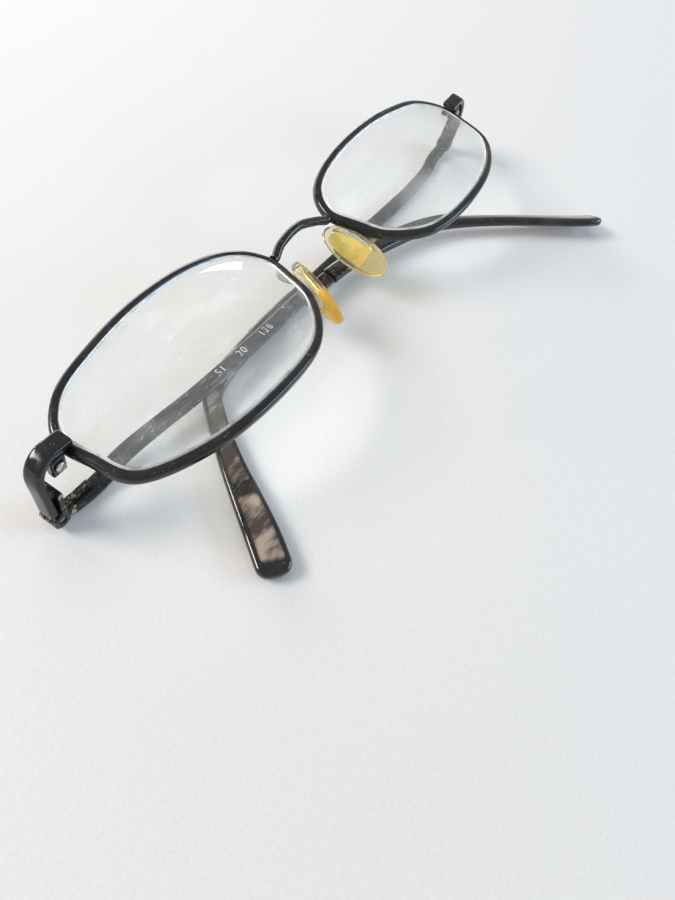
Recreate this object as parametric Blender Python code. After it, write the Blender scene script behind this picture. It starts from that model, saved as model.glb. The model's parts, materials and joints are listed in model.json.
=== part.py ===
"""Folded wire-rim eyeglasses, worn and bent, lying front-up on their folded temples.

Front frame: +X towards the wearer's left, +Y up the face, +Z out of the front, origin
between the two lenses. Each side is built outwards from the middle (outward, up, front)
and then placed left or right. The finished glasses are laid on three points of contact.
"""
import math

import bmesh
import bpy
from mathutils import Matrix, Vector

MM = 0.001

# Lenses and rims
LENS_BOX_WIDTH = 50.6 * MM
LENS_BOX_HEIGHT = 28.0 * MM
LENS_SPACING = 20.0 * MM
BASE_RADIUS = 94.0 * MM
WRAP_ANGLE = math.radians(0.9)
RIM_WIDTH = 1.6 * MM
RIM_DEPTH = 2.0 * MM
GROOVE_DEPTH = 0.6 * MM
GROOVE_WIDTH = 1.4 * MM
LENS_EDGE = 1.7 * MM
LENS_CENTRE = 1.4 * MM
LENS_CLEARANCE = 0.25 * MM
RIDGE_CLEARANCE = 0.1 * MM
RIM_STATIONS = 62
LENS_STATIONS = 62

# Bridge
BRIDGE_THICKNESS = 1.7 * MM
BRIDGE_HEIGHT = 5.4 * MM
BRIDGE_RISE = 1.1 * MM
BRIDGE_FORWARD = 1.6 * MM

# End pieces
FRONT_HALF_WIDTH = 67.3 * MM
STRIP_WIDTH = 3.0 * MM
STRIP_THICKNESS = 1.4 * MM
STRIP_HEIGHT = 4.4 * MM
STRIP_DROP = 1.5 * MM
BLOCK_LENGTH = 2.5 * MM
BLOCK_DEPTH = 3.8 * MM
JOINT_GAP = 0.3 * MM

# Hinges
HINGE_DEPTH = 16.2 * MM
KNUCKLE_RADIUS = 1.55 * MM
KNUCKLE_GAP = 0.15 * MM
LEAF_THICKNESS = 0.8 * MM
LEAF_LENGTH = 5.2 * MM
KNUCKLE_STEPS = 16
PIN_RADIUS = 0.6 * MM
PIN_CLEARANCE = 0.09 * MM
SCREW_HEAD_RADIUS = 0.95 * MM
SCREW_HEAD_HEIGHT = 0.45 * MM

# Temples
BAR_WIDTH = 3.0 * MM
BAR_THICKNESS = 1.3 * MM
CORE_WIDTH = 1.7 * MM
CORE_THICKNESS = 0.7 * MM
CORE_CLEARANCE = 0.25 * MM
BAR_LENGTH = 68.5 * MM
CORE_STOP = 14.0 * MM
SLEEVE_WIDTH = 3.5 * MM
SLEEVE_THICKNESS = 2.1 * MM
PADDLE_WIDTH = 5.9 * MM
PADDLE_LENGTH = 30.0 * MM

# Nose pads
PAD_LENGTH = 14.6 * MM
PAD_WIDTH = 7.2 * MM
PAD_THICKNESS = 2.3 * MM
PLATE_LENGTH = 8.2 * MM
PLATE_WIDTH = 4.4 * MM
PLATE_THICKNESS = 0.8 * MM
LUG_WIDTH = 1.0 * MM
LUG_HEIGHT = 1.7 * MM
LUG_LENGTH = 1.8 * MM
BOX_WALL = 0.5 * MM
BOX_GAP = 0.15 * MM
BOX_END_GAP = 0.5 * MM
BOX_BASE_GAP = 0.4 * MM
PAD_SEAT_HEIGHT = 3.6 * MM
PAD_SCREW_RADIUS = 0.4 * MM
PAD_WIRE_RADIUS = 0.5 * MM

# Pads as they sit now, bent out of step: (outward, down, back) of the centre, then the
# splay of the outward face, the flare of the lower end and the backward lean of the top
RIGHT_PAD = (7.4, 3.9, 6.0, -22.0, 17.0, 7.5)
LEFT_PAD = (8.0, 2.5, 5.3, -12.0, 8.0, 6.5)

# Bend of the front: the left half is turned about its lens centre
TWIST_X = math.radians(5.8)
TWIST_Y = math.radians(-3.3)
TWIST_Z = math.radians(0.9)

# Points of the rim's outline as shares of the half width and half height, outward first
OUTLINE = (
    (1.00, 0.44), (0.79, 0.78), (0.45, 0.91), (0.01, 0.99), (-0.49, 0.97), (-0.84, 0.81),
    (-1.00, 0.44), (-0.96, 0.02), (-0.85, -0.46), (-0.52, -0.90), (0.01, -1.00),
    (0.53, -0.87), (0.92, -0.51), (1.00, 0.00),
)

# Folded temples: outward, up and front places from the hinge to the tip, in millimetres
RIGHT_TEMPLE = (
    (51.5, 2.0, -13.7), (44.3, 1.1, -12.8), (35.3, 0.2, -12.4), (20.0, 0.0, -12.35),
    (5.6, 0.1, -12.35), (-8.0, -0.5, -12.35), (-16.8, -2.4, -12.3), (-23.6, -4.1, -12.3),
    (-31.9, -6.9, -12.25), (-39.0, -11.0, -12.2), (-48.8, -19.3, -12.2), (-62.9, -32.9, -12.3),
    (-68.4, -37.4, -12.4),
)
LEFT_TEMPLE = (
    (53.5, 3.1, -14.0), (44.5, 2.4, -14.15), (34.0, 2.3, -14.25), (20.0, 2.4, -14.3),
    (6.0, 2.4, -14.3), (-8.0, 2.1, -14.35), (-19.6, 1.5, -14.45), (-29.0, 0.4, -14.6),
    (-33.8, -1.2, -14.7), (-36.2, -3.7, -14.8), (-39.2, -7.5, -14.9), (-42.7, -12.5, -15.0),
    (-45.8, -17.5, -15.1), (-49.3, -23.0, -15.15), (-53.5, -29.0, -15.2),
)
RIGHT_TIP_ROLL = math.radians(28.0)
LEFT_TIP_ROLL = math.radians(8.0)

FRONT_BLACK = (0.012, 0.012, 0.014, 1.0)
SLEEVE_BLACK = (0.010, 0.010, 0.011, 1.0)
WORN_METAL = (0.42, 0.36, 0.27, 1.0)
STEEL = (0.45, 0.45, 0.46, 1.0)
LENS_CLEAR = (0.92, 0.94, 0.95, 0.25)
PAD_AMBER = (0.80, 0.55, 0.12, 0.8)
PLATE_PALE = (0.85, 0.85, 0.62, 0.9)

LENS_OUT = LENS_SPACING / 2 + LENS_BOX_WIDTH / 2
STRIP_OUT = FRONT_HALF_WIDTH - STRIP_THICKNESS / 2
PIN_OUT = FRONT_HALF_WIDTH - KNUCKLE_RADIUS - 0.05 * MM
PIN_BACK = HINGE_DEPTH - KNUCKLE_RADIUS - 0.05 * MM
PIN_HEIGHT = STRIP_HEIGHT - STRIP_DROP
BAR_START = PIN_OUT - KNUCKLE_RADIUS - JOINT_GAP
LEAF_TOP = PIN_HEIGHT + STRIP_WIDTH / 2 + 0.1 * MM
LEAF_BOTTOM = PIN_HEIGHT - STRIP_WIDTH / 2 - 0.1 * MM


def clear_scene():
    """Remove whatever objects the file opened with."""
    for item in list(bpy.data.objects):
        bpy.data.objects.remove(item, do_unlink=True)


def material(name, colour, roughness, metallic=0.0):
    """Return a Principled material with one colour."""
    made = bpy.data.materials.new(name)
    made.use_nodes = True
    shader = made.node_tree.nodes["Principled BSDF"]
    shader.inputs["Base Color"].default_value = colour
    shader.inputs["Roughness"].default_value = roughness
    shader.inputs["Metallic"].default_value = metallic
    shader.inputs["Alpha"].default_value = colour[3]
    return made


def spline(points, count, closed=False):
    """Return count points on a smooth curve through the given points."""
    points = [Vector(point) for point in points]
    spans = len(points) if closed else len(points) - 1
    made = []
    for step in range(count):
        place = step / count * spans if closed else step / (count - 1) * spans
        span = min(int(place), spans - 1)
        part = place - span
        corners = []
        for offset in (-1, 0, 1, 2):
            index = span + offset
            if closed:
                corners.append(points[index % len(points)])
            elif index < 0:
                corners.append(points[0] * 2 - points[1])
            elif index > spans:
                corners.append(points[-1] * 2 - points[-2])
            else:
                corners.append(points[index])
        before, first, second, after = corners
        made.append(0.5 * (
            2 * first + (second - before) * part
            + (2 * before - 5 * first + 4 * second - after) * part ** 2
            + (3 * first - before - 3 * second + after) * part ** 3
        ))
    return made


def even_spacing(points, count):
    """Return count points at even distances along a run of points."""
    lengths = [0.0]
    for first, second in zip(points, points[1:]):
        lengths.append(lengths[-1] + (second - first).length)
    made = []
    span = 0
    for step in range(count):
        goal = lengths[-1] * step / (count - 1)
        while span < len(points) - 2 and lengths[span + 1] < goal:
            span += 1
        part = (goal - lengths[span]) / (lengths[span + 1] - lengths[span])
        made.append(points[span].lerp(points[span + 1], min(max(part, 0.0), 1.0)))
    return made


def rounded_section(half_width, half_thickness, count=8, squareness=4.0):
    """Return a rounded rectangle as (width, thickness) pairs."""
    made = []
    for step in range(count):
        turn = 2 * math.pi * (step + 0.5) / count
        across = math.copysign(abs(math.cos(turn)) ** (2 / squareness), math.cos(turn))
        through = math.copysign(abs(math.sin(turn)) ** (2 / squareness), math.sin(turn))
        made.append((half_width * across, half_thickness * through))
    return made


def loft(rings, closed=False):
    """Return a bmesh skinned over rings of equal size, capped unless closed on itself."""
    made = bmesh.new()
    rows = [[made.verts.new(point) for point in ring] for ring in rings]
    pairs = list(zip(rows, rows[1:]))
    if closed:
        pairs.append((rows[-1], rows[0]))
    for near, far in pairs:
        for index in range(len(near)):
            after = (index + 1) % len(near)
            made.faces.new((near[index], near[after], far[after], far[index]))
    if not closed:
        made.faces.new(list(reversed(rows[0])))
        made.faces.new(rows[-1])
    return made


def sweep_frames(points, width_hint):
    """Return (place, along, width, thickness) directions at each point of a path."""
    made = []
    for index, place in enumerate(points):
        along = points[min(index + 1, len(points) - 1)] - points[max(index - 1, 0)]
        along.normalize()
        thickness = along.cross(width_hint).normalized()
        width = thickness.cross(along).normalized()
        made.append((place, along, width, thickness))
    return made


def swept_rings(points, width_hint, section_at):
    """Return rings along a path, section_at giving (pairs, roll) for each share of it."""
    rings = []
    last = len(points) - 1
    for index, (place, along, width, thickness) in enumerate(sweep_frames(points, width_hint)):
        pairs, roll = section_at(index / last)
        turn = Matrix.Rotation(roll, 3, along)
        across = turn @ width
        through = turn @ thickness
        rings.append([place + across * pair[0] + through * pair[1] for pair in pairs])
    return rings


def block(low, high):
    """Return a box between two corners."""
    made = bmesh.new()
    bmesh.ops.create_cube(made, size=1.0)
    low, high = Vector(low), Vector(high)
    size = high - low
    for corner in made.verts:
        corner.co = Vector((
            low.x + size.x * (corner.co.x + 0.5),
            low.y + size.y * (corner.co.y + 0.5),
            low.z + size.z * (corner.co.z + 0.5),
        ))
    return made


def rod(start, end, radius, sides=14):
    """Return a round rod between two points."""
    start, end = Vector(start), Vector(end)
    along = (end - start).normalized()
    side = along.orthogonal().normalized()
    other = along.cross(side)
    ring = []
    for step in range(sides):
        turn = 2 * math.pi * step / sides
        ring.append(side * math.cos(turn) * radius + other * math.sin(turn) * radius)
    return loft([[start + point for point in ring], [end + point for point in ring]])


def headed_rod(start, end, radius, head_radius, head_height, sides=14):
    """Return a screw: a rod whose head sits beyond its end."""
    start, end = Vector(start), Vector(end)
    along = (end - start).normalized()
    side = along.orthogonal().normalized()
    other = along.cross(side)
    stations = (
        (start, radius),
        (end, radius),
        (end, head_radius),
        (end + along * head_height * 0.6, head_radius),
        (end + along * head_height, head_radius * 0.7),
    )
    rings = []
    for place, size in stations:
        ring = []
        for step in range(sides):
            turn = 2 * math.pi * step / sides
            ring.append(place + (side * math.cos(turn) + other * math.sin(turn)) * size)
        rings.append(ring)
    return loft(rings)


class Side:
    """One half of the glasses: its name, direction along X, bend, temple and nose pad."""

    def __init__(self, name, direction, bend, temple_points, tip_roll, pad):
        self.name = name
        self.direction = direction
        self.bend = bend
        self.temple_points = temple_points
        self.tip_roll = tip_roll
        self.pad = pad

    def place(self, point):
        """Return the front-frame place of an (outward, up, front) point."""
        point = Vector(point)
        return self.bend @ Vector((self.direction * point.x, point.y, point.z))

    def unplace(self, point):
        """Return the place on an unbent side of a point measured on the bent front."""
        straight = self.bend.inverted() @ Vector((self.direction * point.x, point.y, point.z))
        return Vector((self.direction * straight.x, straight.y, straight.z))

    def label(self, piece):
        """Return a piece's name on this side."""
        return self.name + "_" + piece


def add_object(name, made, finish, parent, smooth=True):
    """Turn a bmesh in front-frame places into an object under its parent."""
    made.normal_update()
    bmesh.ops.recalc_face_normals(made, faces=made.faces)
    home = parent.matrix_world.inverted()
    root = ROOTS["glasses"].matrix_world
    for corner in made.verts:
        corner.co = home @ (root @ corner.co)
    mesh = bpy.data.meshes.new(name)
    made.to_mesh(mesh)
    made.free()
    mesh.materials.append(finish)
    if smooth:
        mesh.shade_smooth()
        mesh.set_sharp_from_angle(angle=math.radians(35))
    item = bpy.data.objects.new(name, mesh)
    bpy.context.scene.collection.objects.link(item)
    item.parent = parent
    return item


def add_side_object(side, piece, made, finish, parent, smooth=True):
    """Place a bmesh built in (outward, up, front) on its side of the glasses."""
    for corner in made.verts:
        corner.co = side.place(corner.co)
    return add_object(side.label(piece), made, finish, parent, smooth)


def boolean(item, tool_meshes, side, operation):
    """Cut or join an object with tool shapes built in (outward, up, front)."""
    for number, made in enumerate(tool_meshes):
        name = "%s_%s_%d" % (item.name, operation.lower(), number)
        for corner in made.verts:
            corner.co = side.place(corner.co)
        tool = add_object(name, made, item.data.materials[0], item.parent)
        tool.hide_render = True
        tool.display_type = "WIRE"
        change = item.modifiers.new(name, "BOOLEAN")
        change.operation = operation
        change.solver = "EXACT"
        change.object = tool


def front_sag(out, up):
    """Return the front place of the lens surface at an outward and up place."""
    across = out - LENS_OUT
    return -(across ** 2 + up ** 2) / (2 * BASE_RADIUS) - math.tan(WRAP_ANGLE) * across


def outline_points(count):
    """Return the rim's centre outline as (place, inward direction) pairs."""
    run = spline([(x, y, 0.0) for x, y in OUTLINE], 900, closed=True)
    run.append(run[0].copy())
    low_x, high_x = min(point.x for point in run), max(point.x for point in run)
    low_y, high_y = min(point.y for point in run), max(point.y for point in run)
    for point in run:
        point.x = LENS_OUT + LENS_BOX_WIDTH * ((point.x - low_x) / (high_x - low_x) - 0.5)
        point.y = LENS_BOX_HEIGHT * ((point.y - low_y) / (high_y - low_y) - 0.5)
    run = even_spacing(run, count + 1)[:-1]
    made = []
    for index, place in enumerate(run):
        along = (run[(index + 1) % count] - run[index - 1]).normalized()
        inward = Vector((along.y, -along.x, 0.0))
        if inward.dot(Vector((LENS_OUT, 0.0, 0.0)) - place) < 0:
            inward.negate()
        made.append((place, inward))
    return made


def rim():
    """Wire rim with a lens groove, split at the closing block."""
    half = RIM_WIDTH / 2
    deep = RIM_DEPTH / 2
    section = (
        (half, GROOVE_WIDTH / 2), (half, deep * 0.85), (half * 0.45, deep),
        (-half * 0.5, deep), (-half, deep * 0.5), (-half, -deep * 0.5),
        (-half * 0.5, -deep), (half * 0.45, -deep), (half, -deep * 0.85),
        (half, -GROOVE_WIDTH / 2), (half - GROOVE_DEPTH, 0.0),
    )
    run = outline_points(RIM_STATIONS)
    split = min(
        range(RIM_STATIONS),
        key=lambda index: abs(run[index][0].y - STRIP_HEIGHT)
        + (0 if run[index][0].x > LENS_OUT else 1),
    )
    order = [run[(split + index) % RIM_STATIONS] for index in range(RIM_STATIONS)]
    rings = []
    for index in range(RIM_STATIONS + 1):
        place, inward = order[index % RIM_STATIONS]
        if index == 0:
            place = place.lerp(order[1][0], JOINT_GAP / 2 / (order[1][0] - place).length)
        if index == RIM_STATIONS:
            last = order[-1][0]
            place = place.lerp(last, JOINT_GAP / 2 / (last - place).length)
        ring = []
        for across, through in section:
            point = place + inward * across
            ring.append(Vector((point.x, point.y, front_sag(point.x, point.y) + through)))
        rings.append(ring)
    return loft(rings)


def lens():
    """Curved lens with a flat edge and a low ridge that sits in the rim's groove."""
    face_inset = RIM_WIDTH / 2 + LENS_CLEARANCE
    ridge_inset = RIM_WIDTH / 2 - GROOVE_DEPTH + LENS_CLEARANCE + RIDGE_CLEARANCE
    run = outline_points(LENS_STATIONS)
    centre = Vector((LENS_OUT, 0.0, 0.0))
    shares = (0.15, 0.6, 1.0)

    def face_ring(share, sign):
        """Return one ring on the front or back face, at a share of the way to the edge."""
        ring = []
        for place, inward in run:
            point = centre.lerp(place + inward * face_inset, share)
            thickness = LENS_CENTRE + (LENS_EDGE - LENS_CENTRE) * share ** 2
            front = front_sag(point.x, point.y) + sign * thickness / 2
            ring.append(Vector((point.x, point.y, front)))
        return ring

    ridge = []
    for place, inward in run:
        point = place + inward * ridge_inset
        ridge.append(Vector((point.x, point.y, front_sag(point.x, point.y))))
    rings = [face_ring(share, 1) for share in shares]
    rings.append(ridge)
    rings += [face_ring(share, -1) for share in reversed(shares)]
    return loft(rings)


def strip_path():
    """Return the end strip's centre line, from the rim to the hinge."""
    root = LENS_OUT + LENS_BOX_WIDTH / 2
    front = front_sag(root, STRIP_HEIGHT) + RIM_DEPTH / 2 + JOINT_GAP + STRIP_THICKNESS / 2
    end = -PIN_BACK + KNUCKLE_RADIUS + JOINT_GAP
    bend = STRIP_OUT - root
    points = (
        (root - 0.6 * MM, STRIP_HEIGHT, front),
        (root + 0.25 * bend, STRIP_HEIGHT, front),
        (root + 0.56 * bend, STRIP_HEIGHT, front),
        (root + 0.85 * bend, STRIP_HEIGHT - 0.1 * STRIP_DROP, front - 0.2 * bend),
        (STRIP_OUT, STRIP_HEIGHT - 0.3 * STRIP_DROP, front - 0.55 * bend),
        (STRIP_OUT, STRIP_HEIGHT - 0.65 * STRIP_DROP, (front + end - bend / 2) / 2),
        (STRIP_OUT, STRIP_HEIGHT - STRIP_DROP, end),
    )
    return spline(points, 22), front


def end_strip():
    """Strip that leaves the rim, bends back and ends at the hinge."""
    path, _ = strip_path()

    def section_at(share):
        return rounded_section(STRIP_WIDTH / 2, STRIP_THICKNESS / 2, 12, 5.0), 0.0

    return loft(swept_rings(path, Vector((0.0, 1.0, 0.0)), section_at))


def closing_block_corners():
    """Return the corners of the whole closing block, behind the end strip."""
    _, front = strip_path()
    root = LENS_OUT + LENS_BOX_WIDTH / 2 + RIM_WIDTH / 2
    inner = root + JOINT_GAP
    back = front - STRIP_THICKNESS / 2
    low = Vector((inner, STRIP_HEIGHT - STRIP_WIDTH / 2, back - BLOCK_DEPTH))
    high = Vector((inner + BLOCK_LENGTH, STRIP_HEIGHT + STRIP_WIDTH / 2, back))
    return low, high


def closing_screw_place():
    """Return the outward and front place of the closing screw."""
    low, high = closing_block_corners()
    return (low.x + high.x) / 2, (low.z + high.z) / 2


def leaf_outline():
    """Return the hinge leaf's section: a knuckle with a flat plate leaving it."""
    reach = LEAF_LENGTH + KNUCKLE_RADIUS
    near = KNUCKLE_RADIUS - STRIP_THICKNESS - JOINT_GAP
    far = near - LEAF_THICKNESS
    start = math.acos(near / KNUCKLE_RADIUS)
    stop = math.acos(far / KNUCKLE_RADIUS) - 2 * math.pi
    made = [(near, reach)]
    for step in range(KNUCKLE_STEPS + 1):
        turn = start + (stop - start) * step / KNUCKLE_STEPS
        made.append((KNUCKLE_RADIUS * math.cos(turn), KNUCKLE_RADIUS * math.sin(turn)))
    made.append((far, reach))
    return made


def leaf_body(to_place, low, high):
    """Return a hinge leaf between two heights; to_place turns a section point into a place."""
    rings = []
    for height in (low, high):
        rings.append([Vector(to_place(across, along, height)) for across, along in leaf_outline()])
    return loft(rings)


def front_leaf_place(across, along, height):
    """Section places of the front leaf: its plate runs forward along the end strip."""
    return PIN_OUT + across, height, -PIN_BACK + along


def temple_leaf_place(across, along, height):
    """Section places of the temple leaf: its plate runs inward along the folded temple."""
    return PIN_OUT - along, height, -PIN_BACK - across


def knuckle_heights():
    """Return the (bottom, top) of the lower, middle and upper hinge knuckles."""
    third = (LEAF_TOP - LEAF_BOTTOM - 2 * KNUCKLE_GAP) / 3
    lower = (LEAF_BOTTOM, LEAF_BOTTOM + third)
    middle = (lower[1] + KNUCKLE_GAP, lower[1] + KNUCKLE_GAP + third)
    upper = (middle[1] + KNUCKLE_GAP, LEAF_TOP)
    return lower, middle, upper


def pin_hole(low, high, radius):
    """Return the cutter for a hole along the hinge pin."""
    return rod((PIN_OUT, low, -PIN_BACK), (PIN_OUT, high, -PIN_BACK), radius)


def temple_path(side):
    """Return the temple's centre line from its hinge end to the end of its tip."""
    start = (
        BAR_START / MM, PIN_HEIGHT / MM,
        (-HINGE_DEPTH + BAR_THICKNESS / 2) / MM,
    )
    near_end = (
        start[0] - 5.4, PIN_HEIGHT / MM - 0.4, start[2],
    )
    points = [Vector(point) * MM for point in (start, near_end)]
    points += [side.unplace(Vector(point) * MM) for point in side.temple_points]
    return even_spacing(spline(points, 600), 400)


def path_part(path, first, last, count):
    """Return count even points between two distances along a path."""
    total = sum((b - a).length for a, b in zip(path, path[1:]))
    made = []
    for step in range(count):
        share = (first + (last - first) * step / (count - 1)) / total
        place = min(max(share, 0.0), 1.0) * (len(path) - 1)
        index = min(int(place), len(path) - 2)
        made.append(path[index].lerp(path[index + 1], place - index))
    return made, total


def ease(share):
    """Return a smooth step between 0 and 1."""
    share = min(max(share, 0.0), 1.0)
    return share * share * (3 - 2 * share)


def temple_bar(side):
    """Metal temple: a flat bar, then the thin core inside the plastic tip."""
    path = temple_path(side)
    _, total = path_part(path, 0.0, 1.0 * MM, 2)
    core_end = total - CORE_STOP
    bar_points, _ = path_part(path, 0.0, BAR_LENGTH, 26)
    core_points, _ = path_part(path, BAR_LENGTH, core_end, 16)
    points = bar_points + core_points
    frames = sweep_frames(points, Vector((0.0, 1.0, 0.0)))
    rings = []
    for index, (place, along, width, thickness) in enumerate(frames):
        if index < len(bar_points):
            pairs = rounded_section(BAR_WIDTH / 2, BAR_THICKNESS / 2, 8, 5.0)
            roll = 0.0
        else:
            pairs = rounded_section(CORE_WIDTH / 2, CORE_THICKNESS / 2, 8, 3.0)
            roll = side.tip_roll * ease((index - len(bar_points)) / (len(core_points) - 1))
        turn = Matrix.Rotation(roll, 3, along)
        across = turn @ width
        through = turn @ thickness
        rings.append([place + across * pair[0] + through * pair[1] for pair in pairs])
    return loft(rings)


def temple_tip(side):
    """Plastic tip over the core, hooked down and widening to a flat rounded end."""
    path = temple_path(side)
    _, total = path_part(path, 0.0, 1.0 * MM, 2)
    start = BAR_LENGTH + JOINT_GAP
    core_end = total - CORE_STOP
    bore_end = core_end + JOINT_GAP
    core_run = core_end - BAR_LENGTH
    hint = Vector((0.0, 1.0, 0.0))

    def ring(place_index, frames, half_width, half_thickness, squareness, roll):
        place, along, width, thickness = frames[place_index]
        turn = Matrix.Rotation(roll, 3, along)
        across = turn @ width
        through = turn @ thickness
        pairs = rounded_section(half_width, half_thickness, 12, squareness)
        return [place + across * pair[0] + through * pair[1] for pair in pairs]

    bore_points, _ = path_part(path, start, bore_end, 16)
    bore_frames = sweep_frames(bore_points, hint)
    outer_points, _ = path_part(path, start, total, 34)
    outer_frames = sweep_frames(outer_points, hint)

    def roll_at(distance):
        return side.tip_roll * ease((distance - BAR_LENGTH) / core_run)

    rings = []
    for index in reversed(range(len(bore_points))):
        distance = start + (bore_end - start) * index / (len(bore_points) - 1)
        rings.append(ring(
            index, bore_frames, CORE_WIDTH / 2 + CORE_CLEARANCE,
            CORE_THICKNESS / 2 + CORE_CLEARANCE, 3.0, roll_at(distance),
        ))
    for index in range(len(outer_points)):
        distance = start + (total - start) * index / (len(outer_points) - 1)
        widen = ease((distance - (total - PADDLE_LENGTH)) / (PADDLE_LENGTH * 0.85))
        half_width = (SLEEVE_WIDTH + (PADDLE_WIDTH - SLEEVE_WIDTH) * widen) / 2
        half_thickness = SLEEVE_THICKNESS / 2
        to_end = (total - distance) / (PADDLE_WIDTH * 0.28)
        if to_end < 1.0:
            close = math.sqrt(max(1.0 - (1.0 - to_end) ** 2, 0.0))
            half_width *= 0.62 + 0.38 * close
            half_thickness *= 0.70 + 0.30 * close
        rings.append(ring(
            index, outer_frames, half_width, half_thickness, 3.2, roll_at(distance),
        ))
    return loft(rings)


def pad_axes(pad):
    """Return the nose pad's centre and its length, width and outward-face directions."""
    out, down, back, splay, flare, lean = pad
    centre = Vector((out, -down, -back)) * MM
    flare, lean = math.radians(flare), math.radians(lean)
    length = Vector((-math.sin(flare), math.cos(flare) * math.cos(lean), math.sin(lean)))
    length.normalize()
    face = Vector((math.cos(math.radians(splay)), 0.0, math.sin(math.radians(splay))))
    face = (face - length * face.dot(length)).normalized()
    width = face.cross(length).normalized()
    return centre, length, width, face


def pad_place(pad, along, across, through):
    """Return the place of a point given along the pad's own directions."""
    centre, length, width, face = pad_axes(pad)
    return centre + length * along + width * across + face * through


def oval(pad, half_length, half_width, through, count=20, bulge=0.0):
    """Return an oval ring in the pad's own plane, fuller at its lower end."""
    ring = []
    for step in range(count):
        turn = 2 * math.pi * step / count
        along = half_length * math.cos(turn)
        fuller = 1.0 - bulge * math.cos(turn)
        across = half_width * fuller * math.sin(turn)
        ring.append(pad_place(pad, along, across, through))
    return ring


def nose_pad(pad):
    """Soft oval pad, rounded on its nose side and flat behind."""
    half = PAD_THICKNESS / 2
    stations = (
        (0.55, half), (0.90, half * 0.92), (1.0, half * 0.35), (1.0, -half * 0.25),
        (0.90, -half * 0.80), (0.60, -half),
    )
    rings = []
    for share, through in stations:
        rings.append(oval(
            pad, PAD_LENGTH / 2 * share, PAD_WIDTH / 2 * share, through, bulge=0.12,
        ))
    return loft(rings)


def pad_pocket(pad):
    """Return the cutter for the plate's pocket, open on the pad's outward face."""
    half = PAD_THICKNESS / 2
    floor = half - PLATE_THICKNESS - 2 * CORE_CLEARANCE
    rings = []
    for through in (floor, half + 1.0 * MM):
        rings.append(oval(
            pad, PLATE_LENGTH / 2 + CORE_CLEARANCE, PLATE_WIDTH / 2 + CORE_CLEARANCE, through,
        ))
    return loft(rings)


def pad_plate(pad):
    """Stiff oval plate in the pad's pocket."""
    half = PAD_THICKNESS / 2
    top = half - CORE_CLEARANCE
    rings = []
    for through in (top - PLATE_THICKNESS, top):
        rings.append(oval(pad, PLATE_LENGTH / 2, PLATE_WIDTH / 2, through))
    return loft(rings)


def pad_box_shape(pad, low, high):
    """Return a box given by two corners along the pad's own directions."""
    made = block(low, high)
    for corner in made.verts:
        corner.co = pad_place(pad, corner.co.x, corner.co.y, corner.co.z)
    return made


def lug_top():
    """Return how far the plate's lug stands out of the pad's centre plane."""
    return PAD_THICKNESS / 2 + LUG_HEIGHT


def pad_pivot():
    """Return the pad screw's distance from the pad's centre plane."""
    return lug_top() - 0.85 * MM


def box_ends():
    """Return the box's lower and upper ends along the pad."""
    lower = -LUG_LENGTH / 2 - BOX_END_GAP
    upper = LUG_LENGTH / 2 + BOX_END_GAP + BOX_WALL
    return lower, upper


def pad_wire_path(pad):
    """Return the pad arm's centre line, from the pad's box up to the back of the rim."""
    _, upper = box_ends()
    rise = PAD_THICKNESS / 2 + LUG_HEIGHT
    rim_out = LENS_OUT - LENS_BOX_WIDTH / 2
    seat = Vector((rim_out + 0.1 * MM, PAD_SEAT_HEIGHT, 0.0))
    seat.z = front_sag(seat.x, seat.y) - RIM_DEPTH / 2 - JOINT_GAP
    leave = pad_place(pad, upper + 1.5 * MM, 0.0, rise - 0.4 * MM)
    arrive = seat + Vector((0.0, -0.55, -1.3)) * MM
    return (
        pad_place(pad, upper + 2 * JOINT_GAP, 0.0, pad_pivot()),
        leave,
        (leave + arrive) / 2 + Vector((0.0, 0.0, -0.22)) * MM,
        arrive,
        seat,
    )


def tube_along(path, radius, sides):
    """Return a round tube along points, its section carried without twist."""
    along = (path[1] - path[0]).normalized()
    side = along.orthogonal().normalized()
    rings = []
    for index, place in enumerate(path):
        along = (path[min(index + 1, len(path) - 1)] - path[max(index - 1, 0)]).normalized()
        side = (side - along * side.dot(along)).normalized()
        other = along.cross(side)
        ring = []
        for step in range(sides):
            turn = 2 * math.pi * step / sides
            ring.append(place + side * math.cos(turn) * radius + other * math.sin(turn) * radius)
        rings.append(ring)
    made = loft(rings)
    bmesh.ops.triangulate(made, faces=made.faces[:])
    return made


def bridge_points(left, right):
    """Return the bridge's centre line between its seats on the two rims."""
    inner = LENS_OUT - LENS_BOX_WIDTH / 2
    reach = inner - RIM_WIDTH / 2 - JOINT_GAP
    sag = front_sag(inner, BRIDGE_HEIGHT)
    ends = []
    for side in (right, left):
        ends.append((
            side.place((reach, BRIDGE_HEIGHT, sag)),
            side.place((reach - BRIDGE_THICKNESS / 2, BRIDGE_HEIGHT, sag)),
            side.place((
                reach * 0.6, BRIDGE_HEIGHT + BRIDGE_RISE * 0.75, sag + BRIDGE_FORWARD * 0.7,
            )),
        ))
    top = Vector((0.0, BRIDGE_HEIGHT + BRIDGE_RISE, sag + BRIDGE_FORWARD))
    return list(ends[0]) + [top] + list(reversed(ends[1]))


def bend_matrix(side_direction):
    """Return the turn of one half of the front about its lens centre."""
    if side_direction < 0:
        return Matrix.Identity(4)
    turn = (
        Matrix.Rotation(TWIST_Z, 4, "Z") @ Matrix.Rotation(TWIST_Y, 4, "Y")
        @ Matrix.Rotation(TWIST_X, 4, "X")
    )
    centre = Vector((LENS_OUT, 0.0, 0.0))
    return Matrix.Translation(centre) @ turn @ Matrix.Translation(-centre)


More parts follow.
